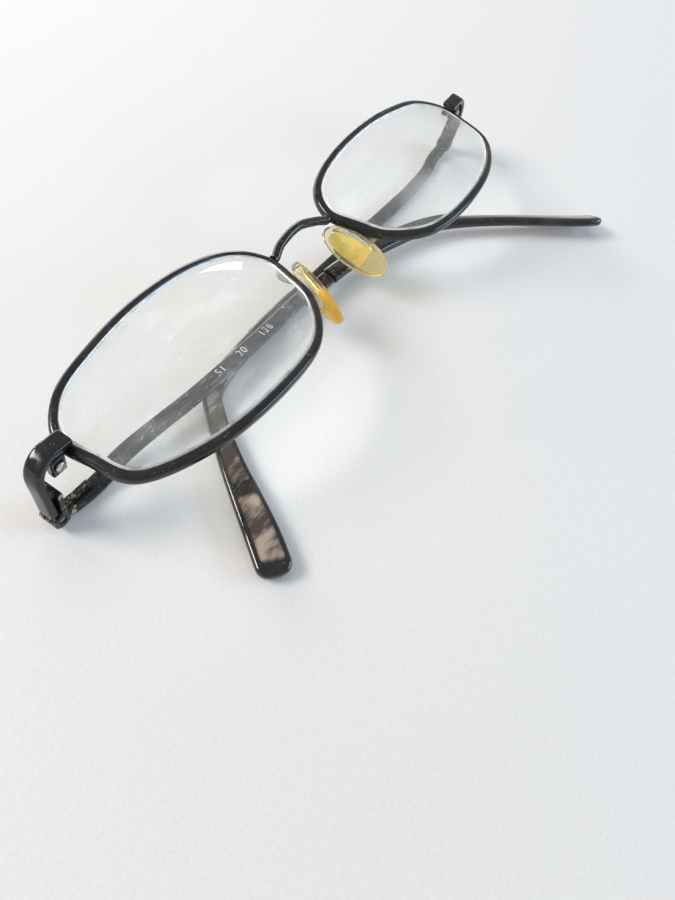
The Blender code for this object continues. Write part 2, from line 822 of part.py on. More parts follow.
def contact_points(right, left):
    """Return three places of the folded glasses that touch the surface below."""
    knuckle = (PIN_OUT, LEAF_BOTTOM, -PIN_BACK)
    down = Vector((0.0, 0.0, -KNUCKLE_RADIUS))
    right_corner = right.place(knuckle) + down
    left_corner = left.place(knuckle) + down
    tip = Vector(left.temple_points[-2]) * MM + Vector((0.0, 0.0, -SLEEVE_THICKNESS / 2))
    return right_corner, left_corner, tip


def lie_matrix(right, left):
    """Return the placing that puts the three contact places on the ground."""
    first, second, third = contact_points(right, left)
    normal = (second - first).cross(third - first).normalized()
    if normal.z < 0:
        normal.negate()
    level = normal.rotation_difference(Vector((0.0, 0.0, 1.0))).to_matrix().to_4x4()
    drop = -min((level @ point).z for point in (first, second, third))
    return Matrix.Translation((0.0, 0.0, drop)) @ level


def add_empty(name, placed, parent=None):
    """Add an empty with a given world placing."""
    item = bpy.data.objects.new(name, None)
    bpy.context.scene.collection.objects.link(item)
    item.parent = parent
    bpy.context.view_layer.update()
    item.matrix_world = placed
    bpy.context.view_layer.update()
    return item


def axis_empty(side, name, origin, direction, parent):
    """Add an empty at a joint, its Z along the joint's axis."""
    root = ROOTS["glasses"].matrix_world
    place = root @ side.place(origin)
    along = (root.to_3x3() @ (side.place(Vector(origin) + Vector(direction)) - side.place(origin)))
    turn = Vector((0.0, 0.0, 1.0)).rotation_difference(along.normalized()).to_matrix().to_4x4()
    return add_empty(side.label(name), Matrix.Translation(place) @ turn, parent)


def centre_on_ground(root):
    """Move the glasses so that the bottom centre of their box is the origin."""
    bpy.context.view_layer.update()
    graph = bpy.context.evaluated_depsgraph_get()
    places = []
    for item in bpy.context.scene.objects:
        if item.type == "MESH" and not item.hide_render:
            solid = item.evaluated_get(graph)
            mesh = solid.to_mesh()
            places += [item.matrix_world @ corner.co for corner in mesh.vertices]
            solid.to_mesh_clear()
    middle = Vector((
        (min(place.x for place in places) + max(place.x for place in places)) / 2,
        (min(place.y for place in places) + max(place.y for place in places)) / 2,
        min(place.z for place in places),
    ))
    root.matrix_world = Matrix.Translation(-middle) @ root.matrix_world
    bpy.context.view_layer.update()


ROOTS = {}


def build_front(side, finishes):
    """Build the pieces of one half of the front."""
    front = ROOTS["glasses"]
    add_side_object(side, "rim", rim(), finishes["black"], front)
    add_side_object(side, "lens", lens(), finishes["clear"], front)

    strip = add_side_object(side, "end_piece", end_strip(), finishes["black"], front)
    low, high = closing_block_corners()
    middle = STRIP_HEIGHT + JOINT_GAP / 2
    upper = block((low.x, middle, low.z), (high.x, high.y, high.z + STRIP_THICKNESS / 2))
    boolean(strip, [upper], side, "UNION")
    screw_out, screw_front = closing_screw_place()
    hole = rod(
        (screw_out, low.y - 1.0 * MM, screw_front),
        (screw_out, high.y + 1.0 * MM, screw_front), PIN_RADIUS + PIN_CLEARANCE,
    )
    boolean(strip, [hole], side, "DIFFERENCE")

    lower = block(
        (low.x, low.y, low.z), (high.x, STRIP_HEIGHT - JOINT_GAP / 2, high.z - JOINT_GAP),
    )
    closing = add_side_object(side, "closing_block", lower, finishes["black"], front, smooth=False)
    hole = rod(
        (screw_out, low.y - 1.0 * MM, screw_front),
        (screw_out, high.y + 1.0 * MM, screw_front), PIN_RADIUS + PIN_CLEARANCE,
    )
    boolean(closing, [hole], side, "DIFFERENCE")
    screw = headed_rod(
        (screw_out, high.y - 0.1 * MM, screw_front),
        (screw_out, low.y - JOINT_GAP / 2, screw_front),
        PIN_RADIUS, SCREW_HEAD_RADIUS, SCREW_HEAD_HEIGHT,
    )
    add_side_object(side, "closing_screw", screw, finishes["steel"], front)

    leaf = leaf_body(front_leaf_place, LEAF_BOTTOM, LEAF_TOP)
    leaf = add_side_object(side, "front_hinge_leaf", leaf, finishes["worn"], front)
    lower_knuckle, middle_knuckle, upper_knuckle = knuckle_heights()
    slot_reach = KNUCKLE_RADIUS + JOINT_GAP
    slot = block(
        (PIN_OUT - 3 * KNUCKLE_RADIUS, lower_knuckle[1], -PIN_BACK - 2 * KNUCKLE_RADIUS),
        (PIN_OUT + 3 * KNUCKLE_RADIUS, upper_knuckle[0], -PIN_BACK + slot_reach),
    )
    hole = pin_hole(LEAF_BOTTOM - MM, LEAF_TOP + MM, PIN_RADIUS + PIN_CLEARANCE)
    boolean(leaf, [slot, hole], side, "DIFFERENCE")
    screw = headed_rod(
        (PIN_OUT, LEAF_BOTTOM + 0.05 * MM, -PIN_BACK), (PIN_OUT, LEAF_TOP + KNUCKLE_GAP, -PIN_BACK),
        PIN_RADIUS, SCREW_HEAD_RADIUS, SCREW_HEAD_HEIGHT,
    )
    add_side_object(side, "hinge_screw", screw, finishes["steel"], front)


def build_temple(side, finishes):
    """Build one temple on its hinge axis."""
    axis = axis_empty(
        side, "temple_axis", (PIN_OUT, PIN_HEIGHT, -PIN_BACK), (0.0, 1.0, 0.0), ROOTS["glasses"],
    )
    _, middle_knuckle, _ = knuckle_heights()
    leaf = leaf_body(temple_leaf_place, middle_knuckle[0], middle_knuckle[1])
    leaf = add_side_object(side, "temple_hinge_leaf", leaf, finishes["worn"], axis)
    hole = pin_hole(LEAF_BOTTOM - MM, LEAF_TOP + MM, PIN_RADIUS + PIN_CLEARANCE)
    boolean(leaf, [hole], side, "DIFFERENCE")
    add_side_object(side, "temple", temple_bar(side), finishes["black"], axis)
    add_side_object(side, "temple_tip", temple_tip(side), finishes["plastic"], axis)


def build_pad(side, finishes):
    """Build one nose pad with its wire, box and screw."""
    pad = side.pad
    front = ROOTS["glasses"]
    add_side_object(
        side, "pad_arm", tube_along(spline(pad_wire_path(pad), 26), PAD_WIRE_RADIUS, 8),
        finishes["steel"], front,
    )
    half_lug = LUG_WIDTH / 2
    outer = half_lug + BOX_GAP + BOX_WALL
    base = PAD_THICKNESS / 2 + BOX_BASE_GAP
    top = lug_top() + BOX_GAP + BOX_WALL
    box_low, box_high = box_ends()
    box = pad_box_shape(pad, (box_low, -outer, base), (box_high, outer, top))
    box = add_side_object(side, "pad_box", box, finishes["steel"], front, smooth=False)
    slot = pad_box_shape(
        pad, (box_low - MM, -half_lug - BOX_GAP, base - MM),
        (box_high - BOX_WALL, half_lug + BOX_GAP, lug_top() + BOX_GAP),
    )
    pivot = pad_pivot()
    hole = rod(
        pad_place(pad, 0.0, -outer - MM, pivot), pad_place(pad, 0.0, outer + MM, pivot),
        PAD_SCREW_RADIUS + PIN_CLEARANCE, 12,
    )
    boolean(box, [slot, hole], side, "DIFFERENCE")
    screw = headed_rod(
        pad_place(pad, 0.0, -outer, pivot), pad_place(pad, 0.0, outer + BOX_GAP, pivot),
        PAD_SCREW_RADIUS, PAD_SCREW_RADIUS * 1.8, 0.4 * MM, 12,
    )
    add_side_object(side, "pad_screw", screw, finishes["steel"], front)

    width_direction = pad_axes(pad)[2]
    axis = axis_empty(side, "pad_axis", pad_place(pad, 0.0, 0.0, pivot), width_direction, front)
    soft = add_side_object(side, "nose_pad", nose_pad(pad), finishes["amber"], axis)
    boolean(soft, [pad_pocket(pad)], side, "DIFFERENCE")
    plate = add_side_object(side, "pad_plate", pad_plate(pad), finishes["pale"], axis)
    lug = pad_box_shape(
        pad, (-LUG_LENGTH / 2, -half_lug, PAD_THICKNESS / 2 - CORE_CLEARANCE - PLATE_THICKNESS / 2),
        (LUG_LENGTH / 2, half_lug, lug_top()),
    )
    boolean(plate, [lug], side, "UNION")
    hole = rod(
        pad_place(pad, 0.0, -outer - MM, pivot), pad_place(pad, 0.0, outer + MM, pivot),
        PAD_SCREW_RADIUS + PIN_CLEARANCE, 12,
    )
    boolean(plate, [hole], side, "DIFFERENCE")


def main():
    clear_scene()
    finishes = {
        "black": material("black_enamel", FRONT_BLACK, 0.22),
        "steel": material("screw_steel", STEEL, 0.35, 1.0),
        "worn": material("worn_plating", WORN_METAL, 0.40, 1.0),
        "clear": material("clear_lens", LENS_CLEAR, 0.06),
        "pale": material("pad_core", PLATE_PALE, 0.30),
        "amber": material("amber_silicone", PAD_AMBER, 0.25),
        "plastic": material("black_sleeve", SLEEVE_BLACK, 0.28),
    }
    right = Side("right", -1, bend_matrix(-1), RIGHT_TEMPLE, RIGHT_TIP_ROLL, RIGHT_PAD)
    left = Side("left", 1, bend_matrix(1), LEFT_TEMPLE, LEFT_TIP_ROLL, LEFT_PAD)
    ROOTS["glasses"] = add_empty("glasses_lie", lie_matrix(right, left))
    add_object(
        "bridge", tube_along(spline(bridge_points(left, right), 30), BRIDGE_THICKNESS / 2, 12),
        finishes["black"], ROOTS["glasses"],
    )
    for side in (right, left):
        build_front(side, finishes)
        build_temple(side, finishes)
        build_pad(side, finishes)
    centre_on_ground(ROOTS["glasses"])


main()
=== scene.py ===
"""Worn, bent wire-rim eyeglasses, folded and lying front up on a pale studio floor.

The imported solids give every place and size. This script dresses them: it lays the rims, lenses,
bridge, end pieces, temples, tips and nose pads over the solids in finer meshes, with worn enamel,
dusty lenses, bare hinge metal and yellowed silicone. Lengths are in millimetres until a mesh is made.
"""

from __future__ import annotations

import json
import logging
import math
from collections.abc import Sequence
from dataclasses import dataclass, field
from enum import Enum

import bmesh
import bpy
from mathutils import Euler, Matrix, Vector

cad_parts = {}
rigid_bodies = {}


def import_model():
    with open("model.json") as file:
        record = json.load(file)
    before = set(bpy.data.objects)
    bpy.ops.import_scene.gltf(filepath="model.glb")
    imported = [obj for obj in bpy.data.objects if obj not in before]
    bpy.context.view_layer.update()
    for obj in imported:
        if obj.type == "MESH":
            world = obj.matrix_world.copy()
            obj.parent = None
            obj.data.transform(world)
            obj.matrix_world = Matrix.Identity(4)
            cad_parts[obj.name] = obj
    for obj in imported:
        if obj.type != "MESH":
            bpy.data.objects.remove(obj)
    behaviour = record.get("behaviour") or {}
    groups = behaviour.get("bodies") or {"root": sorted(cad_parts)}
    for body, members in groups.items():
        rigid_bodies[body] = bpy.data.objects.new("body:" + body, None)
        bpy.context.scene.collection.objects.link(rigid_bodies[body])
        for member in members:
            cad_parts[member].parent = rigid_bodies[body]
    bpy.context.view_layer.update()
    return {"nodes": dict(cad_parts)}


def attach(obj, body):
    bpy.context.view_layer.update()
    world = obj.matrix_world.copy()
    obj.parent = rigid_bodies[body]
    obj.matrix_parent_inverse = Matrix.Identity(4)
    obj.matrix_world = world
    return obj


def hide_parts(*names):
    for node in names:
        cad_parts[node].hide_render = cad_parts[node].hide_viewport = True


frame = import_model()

MM = 0.001
LOG = logging.getLogger("eyeglasses")
Pairs = list[tuple[float, float]]
Place = tuple[float, float, float]
UPWARD = Vector((0.0, 1.0, 0.0))

# The hinge pins and the rim's split on the straight front, in millimetres outward, up and front
PIN_OUT = 65.7
PIN_UP = 2.9
PIN_BACK = 14.6
SPLIT_PLACE = (62.6, 4.4, -2.0)

# The bent left half's turns about X, Y and Z, in degrees
LEFT_BEND = (5.8, -3.3, 0.9)

# Temple runs on the lying front, in millimetres, from behind the hinge to the end of the tip
RIGHT_TEMPLE_RUN = (
    (51.5, 2.0, -13.7), (44.3, 1.1, -12.8), (35.3, 0.2, -12.4), (20.0, 0.0, -12.35),
    (5.6, 0.1, -12.35), (-8.0, -0.5, -12.35), (-16.8, -2.4, -12.3), (-23.6, -4.1, -12.3),
    (-31.9, -6.9, -12.25), (-39.0, -11.0, -12.2), (-48.8, -19.3, -12.2), (-62.9, -32.9, -12.3),
    (-68.4, -37.4, -12.4))
LEFT_TEMPLE_RUN = (
    (53.5, 3.1, -14.0), (44.5, 2.4, -14.15), (34.0, 2.3, -14.25), (20.0, 2.4, -14.3),
    (6.0, 2.4, -14.3), (-8.0, 2.1, -14.35), (-19.6, 1.5, -14.45), (-29.0, 0.4, -14.6),
    (-33.8, -1.2, -14.7), (-36.2, -3.7, -14.8), (-39.2, -7.5, -14.9), (-42.7, -12.5, -15.0),
    (-45.8, -17.5, -15.1), (-49.3, -23.0, -15.15), (-53.5, -29.0, -15.2))


class Side(Enum):
    """The wearer's right and left halves, with their direction along X."""

    RIGHT = -1
    LEFT = 1

    @property
    def word(self) -> str:
        """The side's name in piece names."""
        return self.name.lower()


class Body(Enum):
    """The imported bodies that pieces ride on."""

    FRONT = "front"
    RIGHT_TEMPLE = "right_temple_body"
    LEFT_TEMPLE = "left_temple_body"
    RIGHT_PAD = "right_pad_body"
    LEFT_PAD = "left_pad_body"


TEMPLE_BODY = {Side.RIGHT: Body.RIGHT_TEMPLE, Side.LEFT: Body.LEFT_TEMPLE}
PAD_BODY = {Side.RIGHT: Body.RIGHT_PAD, Side.LEFT: Body.LEFT_PAD}


# Finishes


class Graph:
    """A material's node tree, with short calls for adding and linking nodes."""

    def __init__(self, name: str) -> None:
        """Start an empty material.

        Args:
            name: The material's name.
        """
        self.material = bpy.data.materials.new(name)
        self.material.use_nodes = True
        self.tree = self.material.node_tree
        self.tree.nodes.clear()
        self.output = self.tree.nodes.new("ShaderNodeOutputMaterial")
        self.place = self.tree.nodes.new("ShaderNodeTexCoord").outputs["Object"]

    def node(self, kind: str, **values: object) -> bpy.types.Node:
        """Add a node.

        Args:
            kind: The node's type.
            values: Input values or sockets by input name, with underscores for spaces.

        Returns:
            The new node.
        """
        made = self.tree.nodes.new(kind)
        for key, value in values.items():
            socket = made.inputs[key.replace("_", " ")]
            if isinstance(value, bpy.types.NodeSocket):
                self.tree.links.new(value, socket)
            else:
                socket.default_value = value
        return made

    def noise(self, scale: float, detail: float = 3.0, stretch: Sequence[float] = (1, 1, 1),
              turn: Sequence[float] = (0, 0, 0), roughness: float = 0.55) -> bpy.types.NodeSocket:
        """Add a noise pattern on object coordinates.

        Args:
            scale: Features per metre.
            detail: Octaves of finer noise.
            stretch: Scale factors along the turned axes.
            turn: Turn of the pattern in degrees.
            roughness: Strength of the finer noise.

        Returns:
            The noise value socket.
        """
        mapping = self.tree.nodes.new("ShaderNodeMapping")
        mapping.inputs["Scale"].default_value = stretch
        mapping.inputs["Rotation"].default_value = [math.radians(v) for v in turn]
        self.tree.links.new(self.place, mapping.inputs["Vector"])
        return self.node("ShaderNodeTexNoise", Vector=mapping.outputs[0], Scale=scale,
                         Detail=detail, Roughness=roughness).outputs["Fac"]

    def band(self, value: bpy.types.NodeSocket, low: float, high: float,
             first: float = 0.0, last: float = 1.0) -> bpy.types.NodeSocket:
        """Map a value smoothly from one range to another, clamped.

        Args:
            value: The socket to map.
            low: The value that gives first.
            high: The value that gives last.
            first: The result at low.
            last: The result at high.

        Returns:
            The mapped socket.
        """
        made = self.tree.nodes.new("ShaderNodeMapRange")
        made.interpolation_type = "SMOOTHSTEP"
        for name, number in (("From Min", low), ("From Max", high), ("To Min", first), ("To Max", last)):
            made.inputs[name].default_value = number
        self.tree.links.new(value, made.inputs["Value"])
        return made.outputs["Result"]

    def maths(self, what: str, first: object, second: object = 0.0) -> bpy.types.NodeSocket:
        """Combine two values.

        Args:
            what: The Math node's operation.
            first: A value or socket.
            second: A value or socket.

        Returns:
            The result socket.
        """
        made = self.tree.nodes.new("ShaderNodeMath")
        made.operation = what
        for socket, value in zip(made.inputs, (first, second)):
            if isinstance(value, bpy.types.NodeSocket):
                self.tree.links.new(value, socket)
            else:
                socket.default_value = value
        return made.outputs[0]

    def blend(self, share: bpy.types.NodeSocket, first: object, second: object) -> bpy.types.NodeSocket:
        """Mix two colours.

        Args:
            share: Share of the second colour.
            first: A colour or socket.
            second: A colour or socket.

        Returns:
            The mixed colour socket.
        """
        made = self.tree.nodes.new("ShaderNodeMix")
        made.data_type = "RGBA"
        self.tree.links.new(share, made.inputs[0])
        for socket, value in zip((made.inputs[6], made.inputs[7]), (first, second)):
            if isinstance(value, bpy.types.NodeSocket):
                self.tree.links.new(value, socket)
            else:
                socket.default_value = (*value, 1.0)
        return made.outputs[2]

    def near(self, centre: Vector, inner: float, outer: float) -> bpy.types.NodeSocket:
        """Return 1 near a place and 0 away from it.

        Args:
            centre: The place in metres.
            inner: Distance in metres within which the result is 1.
            outer: Distance in metres beyond which it is 0.

        Returns:
            The mask socket.
        """
        made = self.tree.nodes.new("ShaderNodeVectorMath")
        made.operation = "DISTANCE"
        self.tree.links.new(self.place, made.inputs[0])
        made.inputs[1].default_value = centre
        return self.band(made.outputs["Value"], inner, outer, 1.0, 0.0)

    def scratches(self, scale: float, turn: float, width: float) -> bpy.types.NodeSocket:
        """Return a mask of thin straight scratches.

        Args:
            scale: Scratch spacing per metre.
            turn: Direction in degrees about Z.
            width: Width of the scratches as a share of the noise's range.

        Returns:
            The mask socket.
        """
        lines = self.noise(scale, 1.0, (0.05, 1.0, 1.0), (0, 0, turn))
        edge = self.maths("ABSOLUTE", self.maths("SUBTRACT", lines, 0.5))
        patches = self.band(self.noise(scale * 0.12, 2.0), 0.52, 0.62)
        return self.maths("MULTIPLY", self.band(edge, 0.0, width, 1.0, 0.0), patches)

    def bump(self, height: bpy.types.NodeSocket, strength: float, distance: float) -> bpy.types.NodeSocket:
        """Return a normal from a height.

        Args:
            height: The height socket.
            strength: The bump's strength.
            distance: The bump's depth in metres.

        Returns:
            The normal socket.
        """
        return self.node("ShaderNodeBump", Height=height, Strength=strength,
                         Distance=distance).outputs["Normal"]

    def principled(self, **values: object) -> bpy.types.Node:
        """Add a Principled shader and make it the surface.

        Args:
            values: Input values or sockets by input name, with underscores for spaces.

        Returns:
            The shader node.
        """
        made = self.node("ShaderNodeBsdfPrincipled", **values)
        self.tree.links.new(made.outputs[0], self.output.inputs["Surface"])
        return made

    def open_to_lamps(self, shader: bpy.types.Node, tint: Sequence[float], share: float) -> None:
        """Let lamp light pass through a clear piece.

        Args:
            shader: The piece's shader.
            tint: Colour of the light that passes.
            share: Share of the light that passes.
        """
        clear = self.node("ShaderNodeBsdfTransparent", Color=(*tint, 1.0))
        shadow = self.tree.nodes.new("ShaderNodeLightPath").outputs["Is Shadow Ray"]
        mixed = self.tree.nodes.new("ShaderNodeMixShader")
        self.tree.links.new(self.maths("MULTIPLY", shadow, share), mixed.inputs[0])
        self.tree.links.new(shader.outputs[0], mixed.inputs[1])
        self.tree.links.new(clear.outputs[0], mixed.inputs[2])
        self.tree.links.new(mixed.outputs[0], self.output.inputs["Surface"])


@dataclass(frozen=True)
class BlackEnamel:
    """Glossy black enamel on metal, rubbed, scratched and worn through in places."""

    colour: tuple[float, float, float] = (0.010, 0.010, 0.012)
    smear: tuple[float, float, float] = (0.018, 0.016, 0.015)
    bare: tuple[float, float, float] = (0.60, 0.52, 0.40)
    gloss: float = 0.10
    dull: float = 0.25
    chip_level: float = 0.72
    chip_patches: tuple[float, float] = (0.57, 0.64)
    worn_at: tuple[tuple[tuple[float, float, float], float], ...] = ()

    def material(self, name: str) -> bpy.types.Material:
        """Build the material.

        Args:
            name: The material's name.

        Returns:
            The new material.
        """
        graph = Graph(name)
        smears = graph.band(graph.noise(260, 4.0), 0.42, 0.66)
        scratch = graph.scratches(2600, 35, 0.012)
        chips = graph.band(graph.noise(1400, 5.0, roughness=0.7), self.chip_level, self.chip_level + 0.02)
        chips = graph.maths("MULTIPLY", chips, graph.band(graph.noise(90, 1.0), *self.chip_patches))
        worn: bpy.types.NodeSocket = chips
        for centre, reach in self.worn_at:
            patch = graph.near(Vector(centre), reach * 0.15, reach)
            ragged = graph.band(
                graph.maths("ADD", patch, graph.noise(1100, 4.0, roughness=0.65)), 0.98, 1.06)
            worn = graph.maths("MAXIMUM", worn, ragged)
        colour = graph.blend(smears, self.colour, self.smear)
        colour = graph.blend(graph.maths("MULTIPLY", scratch, 0.35), colour, (0.30, 0.29, 0.28))
        colour = graph.blend(worn, colour, self.bare)
        rough = graph.band(smears, 0.0, 1.0, self.gloss, self.dull)
        rough = graph.maths("ADD", rough, graph.maths("MULTIPLY", scratch, 0.2))
        height = graph.maths("SUBTRACT", graph.noise(3200, 2.0), graph.maths("MULTIPLY", worn, 0.8))
        shader = graph.principled(
            Base_Color=colour, Roughness=rough, Metallic=worn,
            Normal=graph.bump(height, 0.08, 0.00004))
        shader.inputs["Specular IOR Level"].default_value = 0.5
        return graph.material


@dataclass(frozen=True)
class ClearLens:
    """Clear lens plastic with skin smears, dried drops and fine scratches."""

    tint: tuple[float, float, float] = (0.965, 0.978, 0.972)
    smear_turn: float = 28.0

    def material(self, name: str) -> bpy.types.Material:
        """Build the material.

        Args:
            name: The material's name.

        Returns:
            The new material.
        """
        graph = Graph(name)
        smears = graph.band(graph.noise(95, 4.0, (0.45, 1.0, 1.0), (0, 0, self.smear_turn)), 0.50, 0.74)
        drops = graph.band(graph.noise(620, 2.0), 0.70, 0.76)
        scratch = graph.maths(
            "MAXIMUM", graph.scratches(1500, 62, 0.006), graph.scratches(1900, -18, 0.005))
        haze = graph.maths("ADD", graph.maths("MULTIPLY", smears, 0.17),
                           graph.maths("MULTIPLY", drops, 0.18))
        haze = graph.maths("ADD", haze, graph.maths("MULTIPLY", scratch, 0.45))
        clear = graph.maths("SUBTRACT", 0.97, haze)
        rough = graph.maths("ADD", graph.band(smears, 0.0, 1.0, 0.015, 0.075),
                            graph.maths("MULTIPLY", drops, 0.12))
        shader = graph.principled(
            Base_Color=(*self.tint, 1.0), Roughness=rough, Transmission_Weight=clear)
        shader.inputs["IOR"].default_value = 1.5
        shader.inputs["Specular IOR Level"].default_value = 0.08
        graph.open_to_lamps(shader, (0.93, 0.94, 0.935), 1.0)
        return graph.material


@dataclass(frozen=True)
class GroundEdge:
    """The lens's ground bevel: frosted, pale and a little dirty."""

    colour: tuple[float, float, float] = (0.80, 0.82, 0.80)

    def material(self, name: str) -> bpy.types.Material:
        """Build the material.

        Args:
            name: The material's name.

        Returns:
            The new material.
        """
        graph = Graph(name)
        dirt = graph.band(graph.noise(420, 4.0), 0.50, 0.70)
        colour = graph.blend(dirt, self.colour, (0.46, 0.42, 0.36))
        grind = graph.noise(5200, 2.0, (1.0, 1.0, 0.15))
        graph.principled(Base_Color=colour, Roughness=graph.band(dirt, 0, 1, 0.38, 0.62),
                         Normal=graph.bump(grind, 0.25, 0.00004), Transmission_Weight=0.35)
        return graph.material


@dataclass(frozen=True)
class BareMetal:
    """Plated metal of the small hardware, rubbed to a dull shine."""

    bright: tuple[float, float, float] = (0.62, 0.60, 0.57)
    base: tuple[float, float, float] = (0.60, 0.46, 0.26)
    brass_share: float = 0.5
    grime: tuple[float, float, float] = (0.06, 0.05, 0.04)
    roughness: float = 0.28

    def material(self, name: str) -> bpy.types.Material:
        """Build the material.

        Args:
            name: The material's name.

        Returns:
            The new material.
        """
        graph = Graph(name)
        middle = 0.62 - 0.24 * self.brass_share
        brass = graph.band(graph.noise(700, 4.0), middle - 0.05, middle + 0.05)
        dirt = graph.band(graph.noise(1300, 5.0, roughness=0.68), 0.56, 0.68)
        colour = graph.blend(brass, self.bright, self.base)
        colour = graph.blend(dirt, colour, self.grime)
        rough = graph.band(dirt, 0.0, 1.0, self.roughness, 0.7)
        lines = graph.noise(5200, 1.0, (0.08, 1.0, 1.0), (0, 0, 90))
        graph.principled(
            Base_Color=colour, Roughness=rough, Metallic=graph.band(dirt, 0.0, 1.0, 1.0, 0.25),
            Normal=graph.bump(lines, 0.14, 0.00004))
        return graph.material


@dataclass(frozen=True)
class AmberSilicone:
    """Soft clear silicone, yellowed unevenly by age, with patches of grime."""

    pale: tuple[float, float, float] = (0.995, 0.95, 0.76)
    deep: tuple[float, float, float] = (0.99, 0.86, 0.46)
    clearness: float = 0.96
    cloud: float = 0.22

    def material(self, name: str) -> bpy.types.Material:
        """Build the material.

        Args:
            name: The material's name.

        Returns:
            The new material.
        """
        graph = Graph(name)
        low_end = graph.node("ShaderNodeAttribute").outputs["Fac"]
        low_end.node.attribute_name = "low_end"
        age = graph.maths("ADD", low_end, graph.maths("MULTIPLY", graph.noise(260, 3.0), 0.5))
        age = graph.band(age, 0.45, 1.05)
        grime = graph.band(graph.noise(800, 5.0, roughness=0.66), 0.60, 0.74)
        colour = graph.blend(age, self.pale, self.deep)
        colour = graph.blend(graph.maths("MULTIPLY", grime, 0.35), colour, (0.62, 0.44, 0.16))
        rough = graph.maths("ADD", graph.band(graph.noise(900, 2.0), 0.4, 0.7, 0.05, 0.12),
                            graph.maths("MULTIPLY", grime, 0.15))
        shader = graph.principled(
            Base_Color=colour, Roughness=rough,
            Transmission_Weight=graph.maths(
                "SUBTRACT", graph.band(grime, 0.0, 1.0, self.clearness, 0.6),
                graph.maths("MULTIPLY", age, self.cloud)),
            Normal=graph.bump(graph.noise(1500, 2.0), 0.08, 0.00005))
        shader.inputs["IOR"].default_value = 1.41
        graph.open_to_lamps(shader, (0.98, 0.80, 0.30), 0.75)
        return graph.material


@dataclass(frozen=True)
class PadCore:
    """Stiff pale core plate inside the pad."""

    colour: tuple[float, float, float] = (0.98, 0.94, 0.50)
    stain: tuple[float, float, float] = (0.93, 0.80, 0.30)

    def material(self, name: str) -> bpy.types.Material:
        """Build the material.

        Args:
            name: The material's name.

        Returns:
            The new material.
        """
        graph = Graph(name)
        stain = graph.band(graph.noise(520, 3.0), 0.46, 0.70)
        colour = graph.blend(stain, self.colour, self.stain)
        shader = graph.principled(Base_Color=colour, Roughness=0.34,
                                  Normal=graph.bump(graph.noise(2400, 1.0), 0.1, 0.00003))
        shader.inputs["Subsurface Weight"].default_value = 0.25
        shader.inputs["Subsurface Radius"].default_value = (0.001, 0.0008, 0.0003)
        return graph.material


@dataclass(frozen=True)
class BlackSleeve:
    """Glossy black plastic with skin-oil smears, scuffs and a warm bloom."""

    colour: tuple[float, float, float] = (0.008, 0.008, 0.009)
    bloom: tuple[float, float, float] = (0.040, 0.031, 0.026)
    # Dark and pale tones of the painted warm reflection on the flat face, laid over rubbed plastic
    worn_face: tuple[float, float, float] = (0.07, 0.05, 0.04)
    pale_rub: tuple[float, float, float] = (0.52, 0.41, 0.31)

    def material(self, name: str) -> bpy.types.Material:
        """Build the material.

        Args:
            name: The material's name.

        Returns:
            The new material.
        """
        graph = Graph(name)
        oil = graph.band(graph.noise(150, 4.0, (0.7, 1.0, 1.0)), 0.46, 0.70)
        scuff = graph.maths("MAXIMUM", graph.scratches(1900, 12, 0.012), graph.scratches(2300, 74, 0.010))
        specks = graph.band(graph.noise(3600, 2.0), 0.74, 0.78)
        colour = graph.blend(graph.maths("MULTIPLY", oil, 0.8), self.colour, self.bloom)
        colour = graph.blend(graph.maths("MULTIPLY", scuff, 0.30), colour, (0.26, 0.25, 0.24))
        colour = graph.blend(graph.maths("MULTIPLY", specks, 0.6), colour, (0.45, 0.42, 0.38))
        # Painted reflection: a pale warm patch with dark streaks on the flat face stands in for the warm
        # light it reflects, over rubbed plastic
        face = graph.node("ShaderNodeAttribute").outputs["Fac"]
        face.node.attribute_name = "worn_face"
        ragged = graph.maths("ADD", face, graph.maths("MULTIPLY", graph.noise(330, 4.0, roughness=0.6), 0.55))
        rubbed = graph.band(ragged, 0.72, 1.40)
        reflection_streak = graph.band(graph.noise(300, 5.0, (0.25, 1.0, 1.0), (0, 0, 68), 0.65), 0.42, 0.62)
        reflection_tone = graph.blend(reflection_streak, self.worn_face, self.pale_rub)
        colour = graph.blend(graph.maths("MULTIPLY", rubbed, 0.85), colour, reflection_tone)
        rough = graph.maths("ADD", graph.band(oil, 0, 1, 0.08, 0.24), graph.maths("MULTIPLY", scuff, 0.2))
        rough = graph.maths("ADD", rough, graph.maths("MULTIPLY", rubbed, 0.06))
        graph.principled(
            Base_Color=colour, Roughness=rough, Coat_Weight=0.3, Coat_Roughness=0.08,
            Normal=graph.bump(graph.maths("ADD", graph.noise(700, 3.0), scuff), 0.08, 0.00005))
        return graph.material


@dataclass(frozen=True)
class WornInk:
    """Small pale print, rubbed half away."""

    colour: tuple[float, float, float] = (0.66, 0.65, 0.62)

    def material(self, name: str) -> bpy.types.Material:
        """Build the material.

        Args:
            name: The material's name.

        Returns:
            The new material.
        """
        graph = Graph(name)
        rubbed = graph.band(graph.noise(900, 4.0, roughness=0.7), 0.50, 0.66)
        colour = graph.blend(rubbed, self.colour, (0.05, 0.05, 0.05))
        graph.principled(Base_Color=colour, Roughness=graph.band(rubbed, 0, 1, 0.5, 0.3))
        return graph.material


@dataclass(frozen=True)
class DustGrain:
    """Pale dust."""

    colour: tuple[float, float, float] = (0.82, 0.80, 0.76)
    dark: tuple[float, float, float] = (0.30, 0.27, 0.23)

    def material(self, name: str) -> bpy.types.Material:
        """Build the material.

        Args:
            name: The material's name.

        Returns:
            The new material.
        """
        graph = Graph(name)
        colour = graph.blend(graph.band(graph.noise(900, 1.0), 0.40, 0.60), self.colour, self.dark)
        graph.principled(Base_Color=colour, Roughness=0.9)
        return graph.material


# Places and curves


LYING = (
    Matrix.Translation(Vector((-0.8823, 12.0469, 15.5563)) * MM)
    @ Euler([math.radians(v) for v in (-0.6904, 0.8482, -0.0051)]).to_matrix().to_4x4()
)


